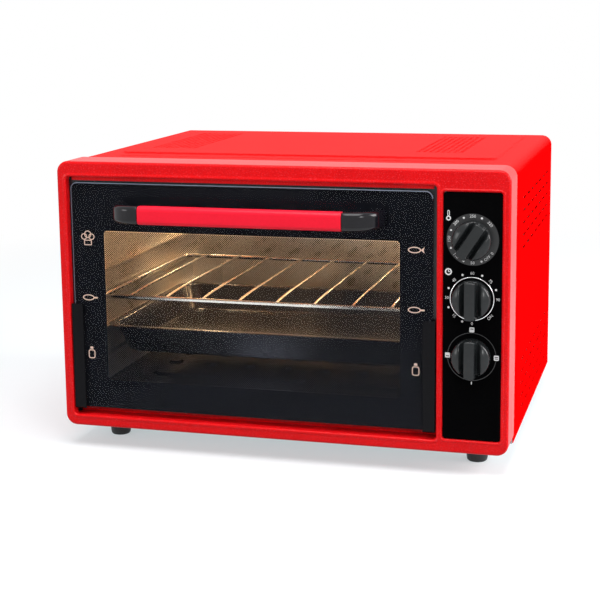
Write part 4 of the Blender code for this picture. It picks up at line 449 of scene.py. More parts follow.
class Form:
    """A mesh under construction, in millimetres in the oven's own frame."""

    def __init__(self) -> None:
        """Starts with nothing."""
        self.points: list[Point] = []
        self.faces: list[list[int]] = []
        self.spans: list[list[list[int]]] = []

    def ring(self, points: Iterable[Point]) -> list[int]:
        """Adds points and returns their numbers."""
        start = len(self.points)
        self.points.extend(points)
        return list(range(start, len(self.points)))

    def bridge(self, one: list[int], two: list[int], closed: bool = True) -> None:
        """Joins two rings of equal length with four-sided faces."""
        count = len(one)
        for i in range(count if closed else count - 1):
            j = (i + 1) % count
            self.faces.append([one[i], one[j], two[j], two[i]])

    def loft(self, rings: Iterable[Iterable[Point]], caps: bool = True, closed: bool = True) -> list[list[int]]:
        """Joins a row of rings.

        Args:
            rings: the rings' points, in order.
            caps: whether the first and last ring are filled.
            closed: whether each ring joins up with its own start.

        Returns:
            The numbers of each ring's points.
        """
        made = [self.ring(points) for points in rings]
        for one, two in zip(made, made[1:]):
            self.bridge(one, two, closed)
        if caps:
            self.faces.append(made[0][::-1])
            self.faces.append(made[-1])
        return made

    def span(self, *loops: list[int]) -> None:
        """Fills the flat area between an outer loop and the loops inside it."""
        self.spans.append(list(loops))

    def made(self, name: str, finish: Finish, angle: float = 40.0) -> bpy.types.Object:
        """Turns the form into a shaded object.

        Args:
            name: the piece's name.
            finish: its finish.
            angle: the bend, in degrees, past which an edge stays sharp.

        Returns:
            The object, at the origin.
        """
        bm = bmesh.new()
        verts = [bm.verts.new(in_row(p)) for p in self.points]
        for face in self.faces:
            bm.faces.new([verts[i] for i in face])
        for loops in self.spans:
            edges = []
            for loop in loops:
                for a, b in zip(loop, loop[1:] + loop[:1]):
                    pair = (verts[a], verts[b])
                    edges.append(bm.edges.get(pair) or bm.edges.new(pair))
            bmesh.ops.triangle_fill(bm, use_beauty=True, edges=edges)
        bmesh.ops.remove_doubles(bm, verts=bm.verts, dist=1e-7)
        bmesh.ops.recalc_face_normals(bm, faces=bm.faces)
        mesh = bpy.data.meshes.new(name)
        bm.to_mesh(mesh)
        bm.free()
        return shaded(shown(mesh, name, finish), angle)


def shown(mesh: bpy.types.Mesh, name: str, finish: Finish) -> bpy.types.Object:
    """Makes an object of a mesh, with one finish."""
    piece = bpy.data.objects.new(name, mesh)
    mesh.materials.clear()
    mesh.materials.append(finish.material())
    bpy.context.scene.collection.objects.link(piece)
    return piece


def settled(piece: bpy.types.Object) -> bpy.types.Object:
    """Turns the result of the piece's modifiers into its plain mesh."""
    graph = bpy.context.evaluated_depsgraph_get()
    mesh = bpy.data.meshes.new_from_object(
        piece.evaluated_get(graph), preserve_all_data_layers=True, depsgraph=graph)
    piece.modifiers.clear()
    piece.data = mesh
    return piece


def shaded(piece: bpy.types.Object, angle: float = 40.0) -> bpy.types.Object:
    """Shades a piece smooth, with sharp edges past an angle and flat faces kept flat.

    Args:
        piece: the piece.
        angle: the bend, in degrees, past which an edge stays sharp.

    Returns:
        The piece.
    """
    mesh = piece.data
    mesh.polygons.foreach_set("use_smooth", [True] * len(mesh.polygons))
    mesh.set_sharp_from_angle(angle=math.radians(angle))
    weigh = piece.modifiers.new("face_weight", "WEIGHTED_NORMAL")
    weigh.keep_sharp = True
    return settled(piece)


def fitted(piece: bpy.types.Object, body: Body, finish: Finish, *nodes: str) -> bpy.types.Object:
    """Gives a finished piece its body and the CAD nodes it stands for.

    Args:
        piece: the finished piece.
        body: the CAD body it rides on.
        finish: not used.
        nodes: the CAD nodes that it replaces.

    Returns:
        The piece.
    """
    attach(piece, body.value)
    if nodes:
        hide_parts(*nodes)
    LOG.info("%s rides on %s, %d faces", piece.name, body.value, len(piece.data.polygons))
    return piece


def steps_round(count: int) -> list[float]:
    """Returns evenly spaced turns round a circle, in radians."""
    return [math.tau * i / count for i in range(count)]


def disc(x: float, z: float, radius: float, steps: int = 24) -> Outline:
    """Returns the outline of a round shape."""
    return [(x + radius * math.cos(t), z + radius * math.sin(t)) for t in steps_round(steps)]


class Drawing(Form):
    """Flat printed shapes that face the front."""

    def __init__(self, y: float) -> None:
        """Starts a drawing at a depth."""
        super().__init__()
        self.y = y

    def shape(self, border: Outline, *holes: Outline) -> None:
        """Adds a filled outline with holes."""
        self.span(*(self.ring([(x, self.y, z) for x, z in line]) for line in (border, *holes)))

    def made(self, name: str, finish: Finish, angle: float = 40.0) -> bpy.types.Object:
        """Turns the drawing into an object whose faces look to the front."""
        piece = super().made(name, finish, angle)
        if sum(face.normal.y * face.area for face in piece.data.polygons) > 0:
            piece.data.flip_normals()
        return piece


class Recipe:
    """A Geometry Nodes tree with named inputs, and the run that turns it into a plain mesh."""

    def __init__(self, name: str, inputs: dict[str, str]) -> None:
        """Starts the tree.

        Args:
            name: the tree's name.
            inputs: socket kind by name. A material input is added.
        """
        self.tree = bpy.data.node_groups.new(name, "GeometryNodeTree")
        self.wiring = Wiring(self.tree)
        sockets = self.tree.interface
        self.keys = {label: sockets.new_socket(label, in_out="INPUT", socket_type=kind).identifier
                     for label, kind in {**inputs, "Finish": "NodeSocketMaterial"}.items()}
        sockets.new_socket("Geometry", in_out="OUTPUT", socket_type="NodeSocketGeometry")
        self.start = self.wiring.add("NodeGroupInput").outputs

    def finish(self, geometry: bpy.types.NodeSocket) -> None:
        """Ends the tree with real geometry and its material."""
        real = self.wiring.add("GeometryNodeRealizeInstances", {0: geometry}).outputs[0]
        inputs = {"Geometry": real, "Material": self.start["Finish"]}
        dressed = self.wiring.add("GeometryNodeSetMaterial", inputs).outputs[0]
        self.wiring.add("NodeGroupOutput", {0: dressed})

    def run(self, name: str, finish: Finish, place: Matrix, **sizes: Any) -> bpy.types.Object:
        """Runs the tree once.

        Args:
            name: the piece's name.
            finish: its finish.
            place: where the result goes, in the oven's own frame, in millimetres.
            sizes: the tree's inputs by name, in millimetres.

        Returns:
            The piece as a plain mesh at the origin.
        """
        piece = bpy.data.objects.new(name, bpy.data.meshes.new(name))
        bpy.context.scene.collection.objects.link(piece)
        modifier = piece.modifiers.new(name, "NODES")
        modifier.node_group = self.tree
        modifier[self.keys["Finish"]] = finish.material()
        for label, value in sizes.items():
            modifier[self.keys[label]] = value
        settled(piece)
        piece.data.transform(Matrix.Scale(MM, 4) @ Matrix.Translation(ORIGIN) @ place)
        if not piece.data.materials:
            piece.data.materials.append(finish.material())
        return piece


FRONT = Matrix(((1, 0, 0, 0), (0, 0, -1, 0), (0, 1, 0, 0), (0, 0, 0, 1)))
"""Turns a pattern drawn in x and y so that it faces the front."""


def at(x: float, y: float, z: float) -> Matrix:
    """Returns the move to a point."""
    return Matrix.Translation((x, y, z))


def merged(pieces: Sequence[bpy.types.Object], name: str) -> bpy.types.Object:
    """Joins plain pieces into the first one, which takes the name."""
    bm = bmesh.new()
    for piece in pieces:
        bm.from_mesh(piece.data)
    first = pieces[0]
    bm.to_mesh(first.data)
    bm.free()
    for piece in pieces[1:]:
        bpy.data.objects.remove(piece)
    first.name = name
    return first


# Repeated shapes


def capsule_field() -> Recipe:
    """Builds the tree for a field of round-ended slots, as prisms that cut them out.

    Returns:
        The recipe.
    """
    recipe = Recipe("capsule_field", {
        "Columns": "NodeSocketInt", "Rows": "NodeSocketInt", "Across": NUMBER, "Up": NUMBER,
        "Length": NUMBER, "Width": NUMBER, "Depth": NUMBER})
    w, start = recipe.wiring, recipe.start
    outline = w.add("GeometryNodeCurvePrimitiveQuadrilateral", {0: start["Length"], 1: start["Width"]})
    radius = w.math("MULTIPLY", start["Width"], 0.499)
    inputs = {"Curve": outline.outputs[0], "Radius": radius, "Count": 4}
    round_ends = w.add("GeometryNodeFilletCurve", inputs, mode="POLY")
    face = w.add("GeometryNodeFillCurve", {0: round_ends.outputs[0]}, mode="NGONS").outputs[0]
    block = w.add("GeometryNodeExtrudeMesh", {"Mesh": face, "Offset Scale": start["Depth"]}).outputs[0]
    back = w.add("GeometryNodeFlipFaces", {0: face}).outputs[0]
    solid = w.add("GeometryNodeJoinGeometry")
    w.tree.links.new(block, solid.inputs[0])
    w.tree.links.new(back, solid.inputs[0])
    whole = w.add("GeometryNodeMergeByDistance", {0: solid.outputs[0], "Distance": 0.001}).outputs[0]
    grid = w.add("GeometryNodeMeshGrid", {
        "Size X": start["Across"], "Size Y": start["Up"], "Vertices X": start["Columns"],
        "Vertices Y": start["Rows"]}).outputs[0]
    recipe.finish(w.add("GeometryNodeInstanceOnPoints", {"Points": grid, "Instance": whole}).outputs[0])
    return recipe


def dot_ring() -> Recipe:
    """Builds the tree for round dots spaced evenly on an arc.

    Returns:
        The recipe.
    """
    recipe = Recipe("dot_ring", {
        "Count": "NodeSocketInt", "Circle": NUMBER, "Dot": NUMBER, "Start": NUMBER, "Sweep": NUMBER})
    w, start = recipe.wiring, recipe.start
    arc = w.add("GeometryNodeCurveArc", {
        "Resolution": start["Count"], "Radius": start["Circle"], "Start Angle": start["Start"],
        "Sweep Angle": start["Sweep"]}, mode="RADIUS")
    dot = w.add("GeometryNodeMeshCircle", {"Vertices": 14, "Radius": start["Dot"]}, fill_type="NGON")
    inputs = {"Points": arc.outputs[0], "Instance": dot.outputs[0]}
    recipe.finish(w.add("GeometryNodeInstanceOnPoints", inputs).outputs[0])
    return recipe


def dot_screen() -> Recipe:
    """Builds the tree for the printed dot screen, whose dots shrink towards a clear middle.

    Returns:
        The recipe.
    """
    recipe = Recipe("dot_screen", {
        "Width": NUMBER, "Height": NUMBER, "Pitch": NUMBER, "Columns": "NodeSocketInt", "Rows": "NodeSocketInt",
        "Dot": NUMBER, "Clear Width": NUMBER, "Clear Height": NUMBER, "Clear Shift": VECTOR, "Fade": NUMBER})
    w, start = recipe.wiring, recipe.start
    screens = w.add("GeometryNodeJoinGeometry")
    half = w.math("MULTIPLY", start["Pitch"], 0.5)
    shift = w.add("ShaderNodeCombineXYZ", {0: half, 1: half}).outputs[0]
    for moved in (False, True):
        points = w.add("GeometryNodeMeshGrid", {
            "Size X": start["Width"], "Size Y": start["Height"], "Vertices X": start["Columns"],
            "Vertices Y": start["Rows"]}).outputs[0]
        if moved:
            points = w.add("GeometryNodeSetPosition", {"Geometry": points, "Offset": shift}).outputs[0]
        w.tree.links.new(points, screens.inputs[0])
    place = w.add("GeometryNodeInputPosition").outputs[0]
    off = w.add("ShaderNodeVectorMath", {0: place, 1: start["Clear Shift"]}, operation="SUBTRACT").outputs[0]
    apart = w.add("ShaderNodeSeparateXYZ", {0: off}).outputs
    outside = w.math("MAXIMUM",
                     w.math("SUBTRACT", w.math("ABSOLUTE", apart[0]), w.math("MULTIPLY", start["Clear Width"], 0.5)),
                     w.math("SUBTRACT", w.math("ABSOLUTE", apart[1]), w.math("MULTIPLY", start["Clear Height"], 0.5)))
    share = w.math("DIVIDE", outside, start["Fade"])
    size = w.add("ShaderNodeClamp", {0: share, 1: 0.0, 2: 1.0}).outputs[0]
    gone = w.math("LESS_THAN", size, 0.12)
    inputs = {"Geometry": screens.outputs[0], "Selection": gone}
    kept = w.add("GeometryNodeDeleteGeometry", inputs, domain="POINT").outputs[0]
    dot = w.add("GeometryNodeMeshCircle", {"Vertices": 6, "Radius": start["Dot"]}, fill_type="NGON").outputs[0]
    root = w.math("POWER", size, 0.5)
    inputs = {"Points": kept, "Instance": dot, "Scale": root}
    recipe.finish(w.add("GeometryNodeInstanceOnPoints", inputs).outputs[0])
    return recipe


def grill() -> Recipe:
    """Builds the tree for a wire rack: a heavy frame wire and thin wires welded across it.

    Returns:
        The recipe.
    """
    recipe = Recipe("grill", {
        "Width": NUMBER, "Depth": NUMBER, "Corner": NUMBER, "Frame Wire": NUMBER, "Thin Wire": NUMBER,
        "Wires": "NodeSocketInt", "Reach": NUMBER, "Lift": NUMBER, "Arch": NUMBER})
    w, start = recipe.wiring, recipe.start
    loop = w.add("GeometryNodeCurvePrimitiveQuadrilateral", {0: start["Width"], 1: start["Depth"]}).outputs[0]
    bent = w.add("GeometryNodeFilletCurve", {"Curve": loop, "Radius": start["Corner"], "Count": 10}, mode="POLY")
    thick = w.add("GeometryNodeCurvePrimitiveCircle", {"Resolution": 18, "Radius": start["Frame Wire"]})
    frame = w.add("GeometryNodeCurveToMesh", {"Curve": bent.outputs[0], "Profile Curve": thick.outputs[0]})
    half = w.math("MULTIPLY", start["Depth"], 0.5)
    line = w.add("GeometryNodeCurvePrimitiveLine", {
        "Start": w.add("ShaderNodeCombineXYZ", {1: w.math("MULTIPLY", half, -1.0)}).outputs[0],
        "End": w.add("ShaderNodeCombineXYZ", {1: half}).outputs[0]}).outputs[0]
    line = w.add("GeometryNodeResampleCurve", {"Curve": line, "Count": 17}, mode="COUNT").outputs[0]
    along = w.add("ShaderNodeSeparateXYZ", {0: w.add("GeometryNodeInputPosition").outputs[0]}).outputs[1]
    share = w.math("POWER", w.math("ABSOLUTE", w.math("DIVIDE", along, half)), 6.0)
    rise = w.math("MULTIPLY", w.math("SUBTRACT", 1.0, share), start["Arch"])
    lift = w.add("ShaderNodeCombineXYZ", {2: rise}).outputs[0]
    line = w.add("GeometryNodeSetPosition", {"Geometry": line, "Offset": lift}).outputs[0]
    thin = w.add("GeometryNodeCurvePrimitiveCircle", {"Resolution": 12, "Radius": start["Thin Wire"]})
    wire = w.add("GeometryNodeCurveToMesh", {
        "Curve": line, "Profile Curve": thin.outputs[0], "Fill Caps": True}).outputs[0]
    edge = w.math("MULTIPLY", start["Reach"], 0.5)
    left = w.add("ShaderNodeCombineXYZ", {0: w.math("MULTIPLY", edge, -1.0), 2: start["Lift"]}).outputs[0]
    right = w.add("ShaderNodeCombineXYZ", {0: edge, 2: start["Lift"]}).outputs[0]
    row = w.add("GeometryNodeMeshLine", {"Count": start["Wires"], "Start Location": left, "Offset": right},
                mode="END_POINTS").outputs[0]
    wires = w.add("GeometryNodeInstanceOnPoints", {"Points": row, "Instance": wire}).outputs[0]
    whole = w.add("GeometryNodeJoinGeometry")
    w.tree.links.new(frame.outputs[0], whole.inputs[0])
    w.tree.links.new(wires, whole.inputs[0])
    recipe.finish(whole.outputs[0])
    return recipe


# Case


@dataclass
class FrontFrame:
    """The moulded frame round the door and the control panel."""

    half: float = 250.0
    top: float = 300.0
    depth: float = 46.0
    corner: float = 12.5
    edge: float = 3.0
    wall: float = 3.0
    door: tuple[float, float, float, float] = (-239.0, 174.0, 13.0, 283.0)
    panel: tuple[float, float, float, float] = (180.5, 241.5, 15.0, 277.0)
    door_corner: float = 4.0
    panel_corner: float = 3.0
    lip: float = 2.2
    bead: float = 0.7
    bead_width: float = 2.6
    panel_bead: float = 1.2
    lip_back: float = 8.3

    def outer(self, inset: float, y: float) -> list[Point]:
        """Returns the outer ring at a depth, set in from the frame's side."""
        radius = max(self.corner - inset, 1.0)
        outline = rounded(-self.half + inset, self.half - inset, inset, self.top - inset, radius, 10)
        return [(x, y, z) for x, z in outline]

    @staticmethod
    def opening(box: tuple[float, ...], radius: float, outset: float, y: float) -> list[Point]:
        """Returns a ring round an opening at a depth, set out from its edge."""
        x0, x1, z0, z1 = box
        outline = rounded(x0 - outset, x1 + outset, z0 - outset, z1 + outset, radius + outset, 8)
        return [(x, y, z) for x, z in outline]

    def lip_rings(self, box: tuple[float, ...], radius: float, bead_width: float) -> list[list[Point]]:
        """Returns the rings of an opening's rounded bead and lip, from the flat face inwards.

        Args:
            box: the opening.
            radius: its corner radius.
            bead_width: how far the bead reaches beyond the lip's round.

        Returns:
            The rings.
        """
        rings = []
        for step in range(5):
            share = step / 4
            out = self.lip + bead_width * (1 - share)
            rings.append(self.opening(box, radius, out, -self.bead * smoothstep(share, 0, 1)))
        for step in range(1, 8):
            turn = math.pi / 2 * step / 7
            out = self.lip * (1 - math.sin(turn))
            y = -self.bead + self.lip * (1 - math.cos(turn))
            rings.append(self.opening(box, radius, out, y))
        rings.append(self.opening(box, radius, 0, self.lip_back))
        return rings

    def build(self) -> None:
        """Makes the moulding as one closed body."""
        form = Form()
        skin = [self.outer(0, self.depth), self.outer(0, self.depth - 0.6)]
        for step in range(9):
            turn = math.pi / 2 * step / 8
            inset = self.edge * (1 - math.cos(turn))
            skin.append(self.outer(inset, self.edge * (1 - math.sin(turn))))
        outer = form.loft(skin, caps=False)
        inner = form.loft([self.outer(self.wall, self.depth), self.outer(self.wall, self.wall + 2)], caps=False)
        form.bridge(outer[0], inner[0])
        loops, holes = [], []
        for box, radius, width in ((self.door, self.door_corner, self.bead_width),
                                   (self.panel, self.panel_corner, self.panel_bead)):
            rings = form.loft(self.lip_rings(box, radius, width), caps=False)
            behind = form.ring(self.opening(box, radius, 2.0, self.wall + 2))
            rear = form.ring(self.opening(box, radius, 2.0, self.lip_back))
            form.bridge(rings[-1], rear)
            form.bridge(rear, behind)
            loops.append(rings[0])
            holes.append(behind)
        form.span(outer[-1], *loops)
        form.span(inner[-1], *holes)
        fitted(form.made("frame_moulding", FRAME_RED, 50), Body.CASE, FRAME_RED, "front_frame")
        self.build_rebate()

    def build_rebate(self) -> None:
        """Makes the sill behind the door's foot and the step above its top edge."""
        x0, x1, z0, z1 = self.door
        for name, box in (("frame_sill_step", (x0 + 0.4, x1 - 0.4, 8.5, 21.5, z0 - 2.6, z0 - 0.9)),
                          ("frame_sill_riser", (x0 + 0.4, x1 - 0.4, 21.7, 22.6, z0 - 1.0, z0 + 7.5)),
                          ("frame_top_step", (x0 + 4.0, x1 - 4.0, 6.9, 8.3, z1 - 4.4, z1 + 1.0))):
            a, b, y0, y1, c, d = box
            form = Form()
            form.loft([[(x, y, z) for x, z in rounded(a + i, b - i, c + i, d - i, 0.7, 3)]
                       for i, y in ((0.3, y0), (0.0, y0 + 0.3), (0.0, y1 - 0.3), (0.3, y1))])
            fitted(form.made(name, FRAME_RED, 40), Body.CASE, FRAME_RED)


@dataclass
class Shell:
    """The sheet wrapped over the left side, the top and the right side, with its stamped field and vents."""

    half: float = 249.4
    bottom: float = 1.1
    top: float = 298.2
    corner: float = 12.0
    front: float = 46.3
    rear: float = 398.9
    sheet: float = 0.8
    field: tuple[float, float, float, float] = (-220.4, 220.4, 110.0, 369.0)
    field_corner: float = 10.0
    rise: float = 1.2
    slope: float = 3.0
    groove: float = 84.0

    def stations(self, low: float, high: float, edges: Sequence[float]) -> list[float]:
        """Returns places along an axis that are dense at the stamped field's edges.

        Args:
            low: the first place.
            high: the last place.
            edges: where the surface changes.

        Returns:
            The places in order.
        """
        places = {low, high}
        for edge in edges:
            places.update(edge + step for step in (-1.6, -0.8, 0.0, 0.8, 1.6, 2.4, 3.2, 4.0))
            inward = 1 if edge < (low + high) / 2 else -1
            places.update(edge + inward * step for step in (6, 8, 10, 12))
        steps = 24
        places.update(low + (high - low) * i / steps for i in range(steps))
        ordered = sorted(p for p in places if low <= p <= high)
        kept = [ordered[0]]
        for place in ordered[1:]:
            if place - kept[-1] > 0.5:
                kept.append(place)
        kept[-1] = high
        return kept

    def stamped(self, x: float, y: float) -> float:
        """Returns how far the stamped field lifts the top at a place."""
        x0, x1, y0, y1 = self.field
        radius = self.field_corner
        dx = max(x0 + radius - x, x - x1 + radius, 0.0)
        dy = max(y0 + radius - y, y - y1 + radius, 0.0)
        inside = radius - math.hypot(dx, dy) if dx or dy else radius
        lift = self.rise * smoothstep(inside, 0.0, self.slope)
        return lift - 0.7 * math.exp(-((y - self.groove) / 1.4) ** 2) * smoothstep(inside + 240 - abs(x), 0, 8)

    def profile(self) -> list[tuple[float, float]]:
        """Returns the sheet's section from the lower left, over the top, to the lower right."""
        half, radius = self.half, self.corner
        points = [(-half, self.bottom + (self.top - radius - self.bottom) * i / 6) for i in range(7)]
        for step in range(1, 10):
            turn = math.pi - math.pi / 2 * step / 10
            points.append((-half + radius + radius * math.cos(turn), self.top - radius + radius * math.sin(turn)))
        flat = half - radius
        points += [(x, self.top) for x in self.stations(-flat, flat, (self.field[0], self.field[1]))]
        mirror = [(-x, z) for x, z in points[:16]]
        return points + mirror[::-1]

    def sheet_form(self) -> Form:
        """Returns the wrapped sheet without its vents."""
        form = Form()
        rows = []
        for y in self.stations(self.front, self.rear, (self.field[2], self.field[3], self.groove)):
            rows.append([(x, y, z + (self.stamped(x, y) if z >= self.top else 0.0)) for x, z in self.profile()])
        form.loft(rows, caps=False, closed=False)
        return form

    def cutters(self, recipe: Recipe) -> bpy.types.Object:
        """Returns the prisms of all the vents.

        Args:
            recipe: the slot field's tree.

        Returns:
            One piece that holds all the prisms.
        """
        sideways = Matrix(((0, 0, 1, 0), (1, 0, 0, 0), (0, 1, 0, 0), (0, 0, 0, 1)))
        made = []
        for z in (48.9, 229.6):
            made.append(recipe.run("side_slots", ZINC, at(-260, 235, z) @ sideways, Columns=7, Rows=5,
                                   Across=228.0, Up=54.8, Length=24.0, Width=2.6, Depth=520.0))
        for x in (-173.0, 147.0):
            made.append(recipe.run("top_slots", ZINC, at(x, 254, 290), Columns=8, Rows=31, Across=49.0,
                                   Up=180.0, Length=5.2, Width=3.0, Depth=20.0))
        return merged(made, "vent_cutters")

    def build(self, slots: Recipe) -> None:
        """Makes the shell, cuts its vents and fits it.

        Args:
            slots: the slot field's tree.
        """
        shell = self.sheet_form().made("shell_wrap", SHELL_RED, 40)
        cutters = self.cutters(slots)
        thick = shell.modifiers.new("sheet", "SOLIDIFY")
        thick.thickness, thick.offset = self.sheet * MM, -1
        cut = shell.modifiers.new("vents", "BOOLEAN")
        cut.object, cut.operation, cut.solver = cutters, "DIFFERENCE", "EXACT"
        settled(shell)
        bpy.data.objects.remove(cutters)
        shaded(shell, 35)
        fitted(shell, Body.CASE, SHELL_RED, "outer_shell")


@dataclass
class Feet:
    """Four tapered feet with a rounded rim and a recess for the screw."""

    places: tuple[tuple[float, float], ...] = ((-209, 60), (209, 60), (-209, 340), (209, 340))
    sides: int = 40
    names: tuple[str, ...] = ("front_left", "front_right", "rear_left", "rear_right")
    profile: tuple[tuple[float, float], ...] = (
        (4.6, -0.3), (12.9, -0.3), (13.4, -0.8), (13.4, -3.4), (12.9, -4.0), (12.2, -12.0), (11.4, -21.0),
        (10.9, -23.6), (9.9, -24.7), (8.6, -25.0), (7.6, -24.4), (7.2, -23.0), (6.4, -13.0), (4.6, -12.8))

    def build(self) -> None:
        """Makes the four feet."""
        for (x, y), name in zip(self.places, self.names):
            form = Form()
            rings = []
            for radius, z in self.profile + self.profile[:1]:
                rings.append([(px, py, z) for px, py in disc(x, y, radius, self.sides)])
            form.loft(rings, caps=False)
            foot = form.made(f"foot_{name}_moulding", RUBBER, 50)
            fitted(foot, Body.CASE, RUBBER, f"foot_{name}")


# Door


@dataclass
class Door:
    """The glass pane with its printed border, dot screen and signs."""

    pane: tuple[float, float, float, float] = (-235.0, 170.0, 20.5, 277.0)
    corner: float = 8.0
    front: float = 2.0
    rear: float = 6.0
    window: tuple[float, float, float, float] = (-198.0, 134.0, 54.0, 223.0)
    window_corner: float = 3.0
    # How many outline points, from the top right over the top to the left side, carry the painted highlight.
    highlight_points: int = 23

    def rim(self, inset: float, y: float) -> list[Point]:
        """Returns the pane's outline at a depth, set in from its edge."""
        x0, x1, z0, z1 = self.pane
        outline = rounded(x0 + inset, x1 - inset, z0 + inset, z1 - inset, self.corner - inset, 10)
        return [(x, y, z) for x, z in outline]

    def build_pane(self) -> None:
        """Makes the bevelled pane, and a painted highlight strip along its top and left bevel."""
        form = Form()
        form.loft([self.rim(inset, y) for inset, y in (
            (1.0, self.front), (0.15, self.front + 0.85), (0, self.front + 1.1),
            (0, self.rear - 0.6), (0.5, self.rear - 0.1))])
        fitted(form.made("door_pane", DOOR_GLASS, 20), Body.DOOR, DOOR_GLASS, "door_glass")
        # Painted highlight: a bluish-grey strip over the top and left bevel only, standing in for the lamps'
        # reflection on those edges.
        edge = Form()
        rings = [self.rim(inset, y)[:self.highlight_points] for inset, y in (
            (1.05, self.front - 0.02), (0.13, self.front + 0.80), (0.35, self.front + 0.95),
            (1.15, self.front + 0.15))]
        edge.loft(rings + rings[:1], caps=False, closed=False)
        fitted(edge.made("door_pane_painted_highlight", PAINTED_EDGE_HIGHLIGHT, 30), Body.DOOR, PAINTED_EDGE_HIGHLIGHT)

    def build_print(self, screen: Recipe) -> None:
        """Makes the black border and the dot screen behind the pane.

        Args:
            screen: the dot screen's tree.
        """
        form = Form()
        loops = []
        for y in (self.rear - 0.04, self.rear + 0.04):
            hole = [(x, y, z) for x, z in rounded(*self.window, self.window_corner, 6)]
            loops.append((form.ring(self.rim(0.7, y)), form.ring(hole)))
        for (a, b) in zip(*loops):
            form.bridge(a, b)
        for border, hole in loops:
            form.span(border, hole)
        fitted(form.made("door_border_print", PRINT_BLACK, 30), Body.DOOR, PRINT_BLACK)
        wx0, wx1, wz0, wz1 = self.window
        pitch = 2.3
        columns, rows = int((wx1 - wx0) / pitch), int((wz1 - wz0) / pitch)
        middle = at((wx0 + wx1) / 2 - pitch / 4, self.rear + 0.02, (wz0 + wz1) / 2 - pitch / 4) @ FRONT
        dots = screen.run("door_dot_screen", PRINT_BLACK, middle, Width=(columns - 1) * pitch,
                          Height=(rows - 1) * pitch, Pitch=pitch, Columns=columns, Rows=rows, Dot=0.80,
                          **{"Clear Width": 150.0, "Clear Height": 60.0, "Clear Shift": (-10.0, -4.0, 0.0)},
                          Fade=46.0)
        fitted(dots, Body.DOOR, PRINT_BLACK)

    def build_signs(self) -> None:
        """Prints the small food signs on the pane's border."""
        drawing = Drawing(self.front - 0.03)
        left, right = -216.0, 152.0
        hat = 216.0
        drawing.shape(rounded(left - 4.6, left + 4.6, hat - 9.0, hat - 3.0, 0.8, 3),
                      rounded(left - 3.6, left + 3.6, hat - 8.0, hat - 4.0, 0.4, 3))
        for dx, dz, radius in ((-4.4, 0.6, 3.6), (4.4, 0.6, 3.6), (0.0, 3.2, 4.2)):
            drawing.shape(disc(left + dx, hat + dz, radius), disc(left + dx, hat + dz, radius - 1.0))
        for x, z, tail in ((left, 148.0, 0.0), (right, 151.5, 0.0), (right, 215.0, 6.4)):
            drawing.shape([(x + 7.0 * math.cos(t) - 1.5, z + 3.4 * math.sin(t)) for t in steps_round(24)],
                          [(x + 5.8 * math.cos(t) - 1.5, z + 2.3 * math.sin(t)) for t in steps_round(24)])
            if tail:
                drawing.shape([(x + 5.2, z), (x + 9.2, z + 3.4), (x + 8.0, z), (x + 9.2, z - 3.4)])
            else:
                drawing.shape(rounded(x + 5.2, x + 9.4, z - 0.9, z + 0.9, 0.7, 3))
        for x, z in ((left, 84.5), (right, 87.0)):
            drawing.shape(rounded(x - 4.0, x + 4.0, z - 6.0, z + 4.0, 2.4, 4),
                          rounded(x - 3.0, x + 3.0, z - 5.0, z + 3.0, 1.6, 4))
            drawing.shape(rounded(x - 1.8, x + 1.8, z + 4.8, z + 7.4, 0.7, 3))
        fitted(drawing.made("door_signs", PRINT_COPPER), Body.DOOR, PRINT_COPPER)


@dataclass
class Handle:
    """The bar handle: a red bar between two dark bent ends."""

    bar: tuple[float, float] = (-141.0, 82.0)
    front: float = -38.0
    thick: float = 14.0
    low: float = 237.6
    high: float = 257.6
    bend: float = 26.0
    end: float = 32.5
    foot_back: float = 1.7

    def section(self, steps: int = 6, shrink: float = 0.0) -> Outline:
        """Returns the bar's section: depth across and height up, about its middle."""
        half, tall = self.thick / 2 - shrink, (self.high - self.low) / 2 - shrink
        return rounded(-half, half, -tall, tall, 5.0 - shrink, steps)

    def swept(self, path: Sequence[tuple[float, float, float]], shrinks: Sequence[float]) -> Form:
        """Sweeps the section along a level path.

        Args:
            path: x, y and heading in radians at each station.
            shrinks: how far the section is drawn in at each station.

        Returns:
            The closed form.
        """
        form = Form()
        rings = []
        middle = (self.low + self.high) / 2
        for (x, y, heading), shrink in zip(path, shrinks):
            ring = []
            for u, v in self.section(shrink=shrink):
                ring.append((x - u * math.sin(heading), y + u * math.cos(heading), middle + v))
            rings.append(ring)
        form.loft(rings)
        return form

    def build(self) -> None:
        """Makes the bar and its two ends."""
        y = self.front + self.thick / 2
        left, right = self.bar
        shrinks = [0.8, 0.2, 0, 0, 0.2, 0.8]
        stops = [left, left + 0.3, left + 1.0, right - 1.0, right - 0.3, right]
        bar = self.swept([(x, y, 0.0) for x in stops], shrinks).made("handle_bar_red", HANDLE_RED, 50)
        fitted(bar, Body.DOOR, HANDLE_RED, "handle_bar")
        for side, start, name in ((-1, left - 0.3, "left"), (1, right + 0.3, "right")):
            foot = start + side * (self.end - 0.3)
            path = [(start, y, 0.0), (start + side * 0.5, y, 0.0)]
            turn_x = foot - side * self.bend
            for step in range(15):
                turn = math.pi / 2 * step / 14
                path.append((turn_x + side * self.bend * math.sin(turn),
                             y + self.bend * (1 - math.cos(turn)), side * turn))
            path.append((foot, self.foot_back - 0.6, side * math.pi / 2))
            path.append((foot, self.foot_back, side * math.pi / 2))
            shrink = [0.7, 0.1] + [0.0] * 15 + [0.0, 0.6]
            end = self.swept(path, shrink).made(f"handle_end_{name}_black", GLOSS_BLACK, 50)
            fitted(end, Body.DOOR, GLOSS_BLACK, f"handle_end_{name}")


# Controls


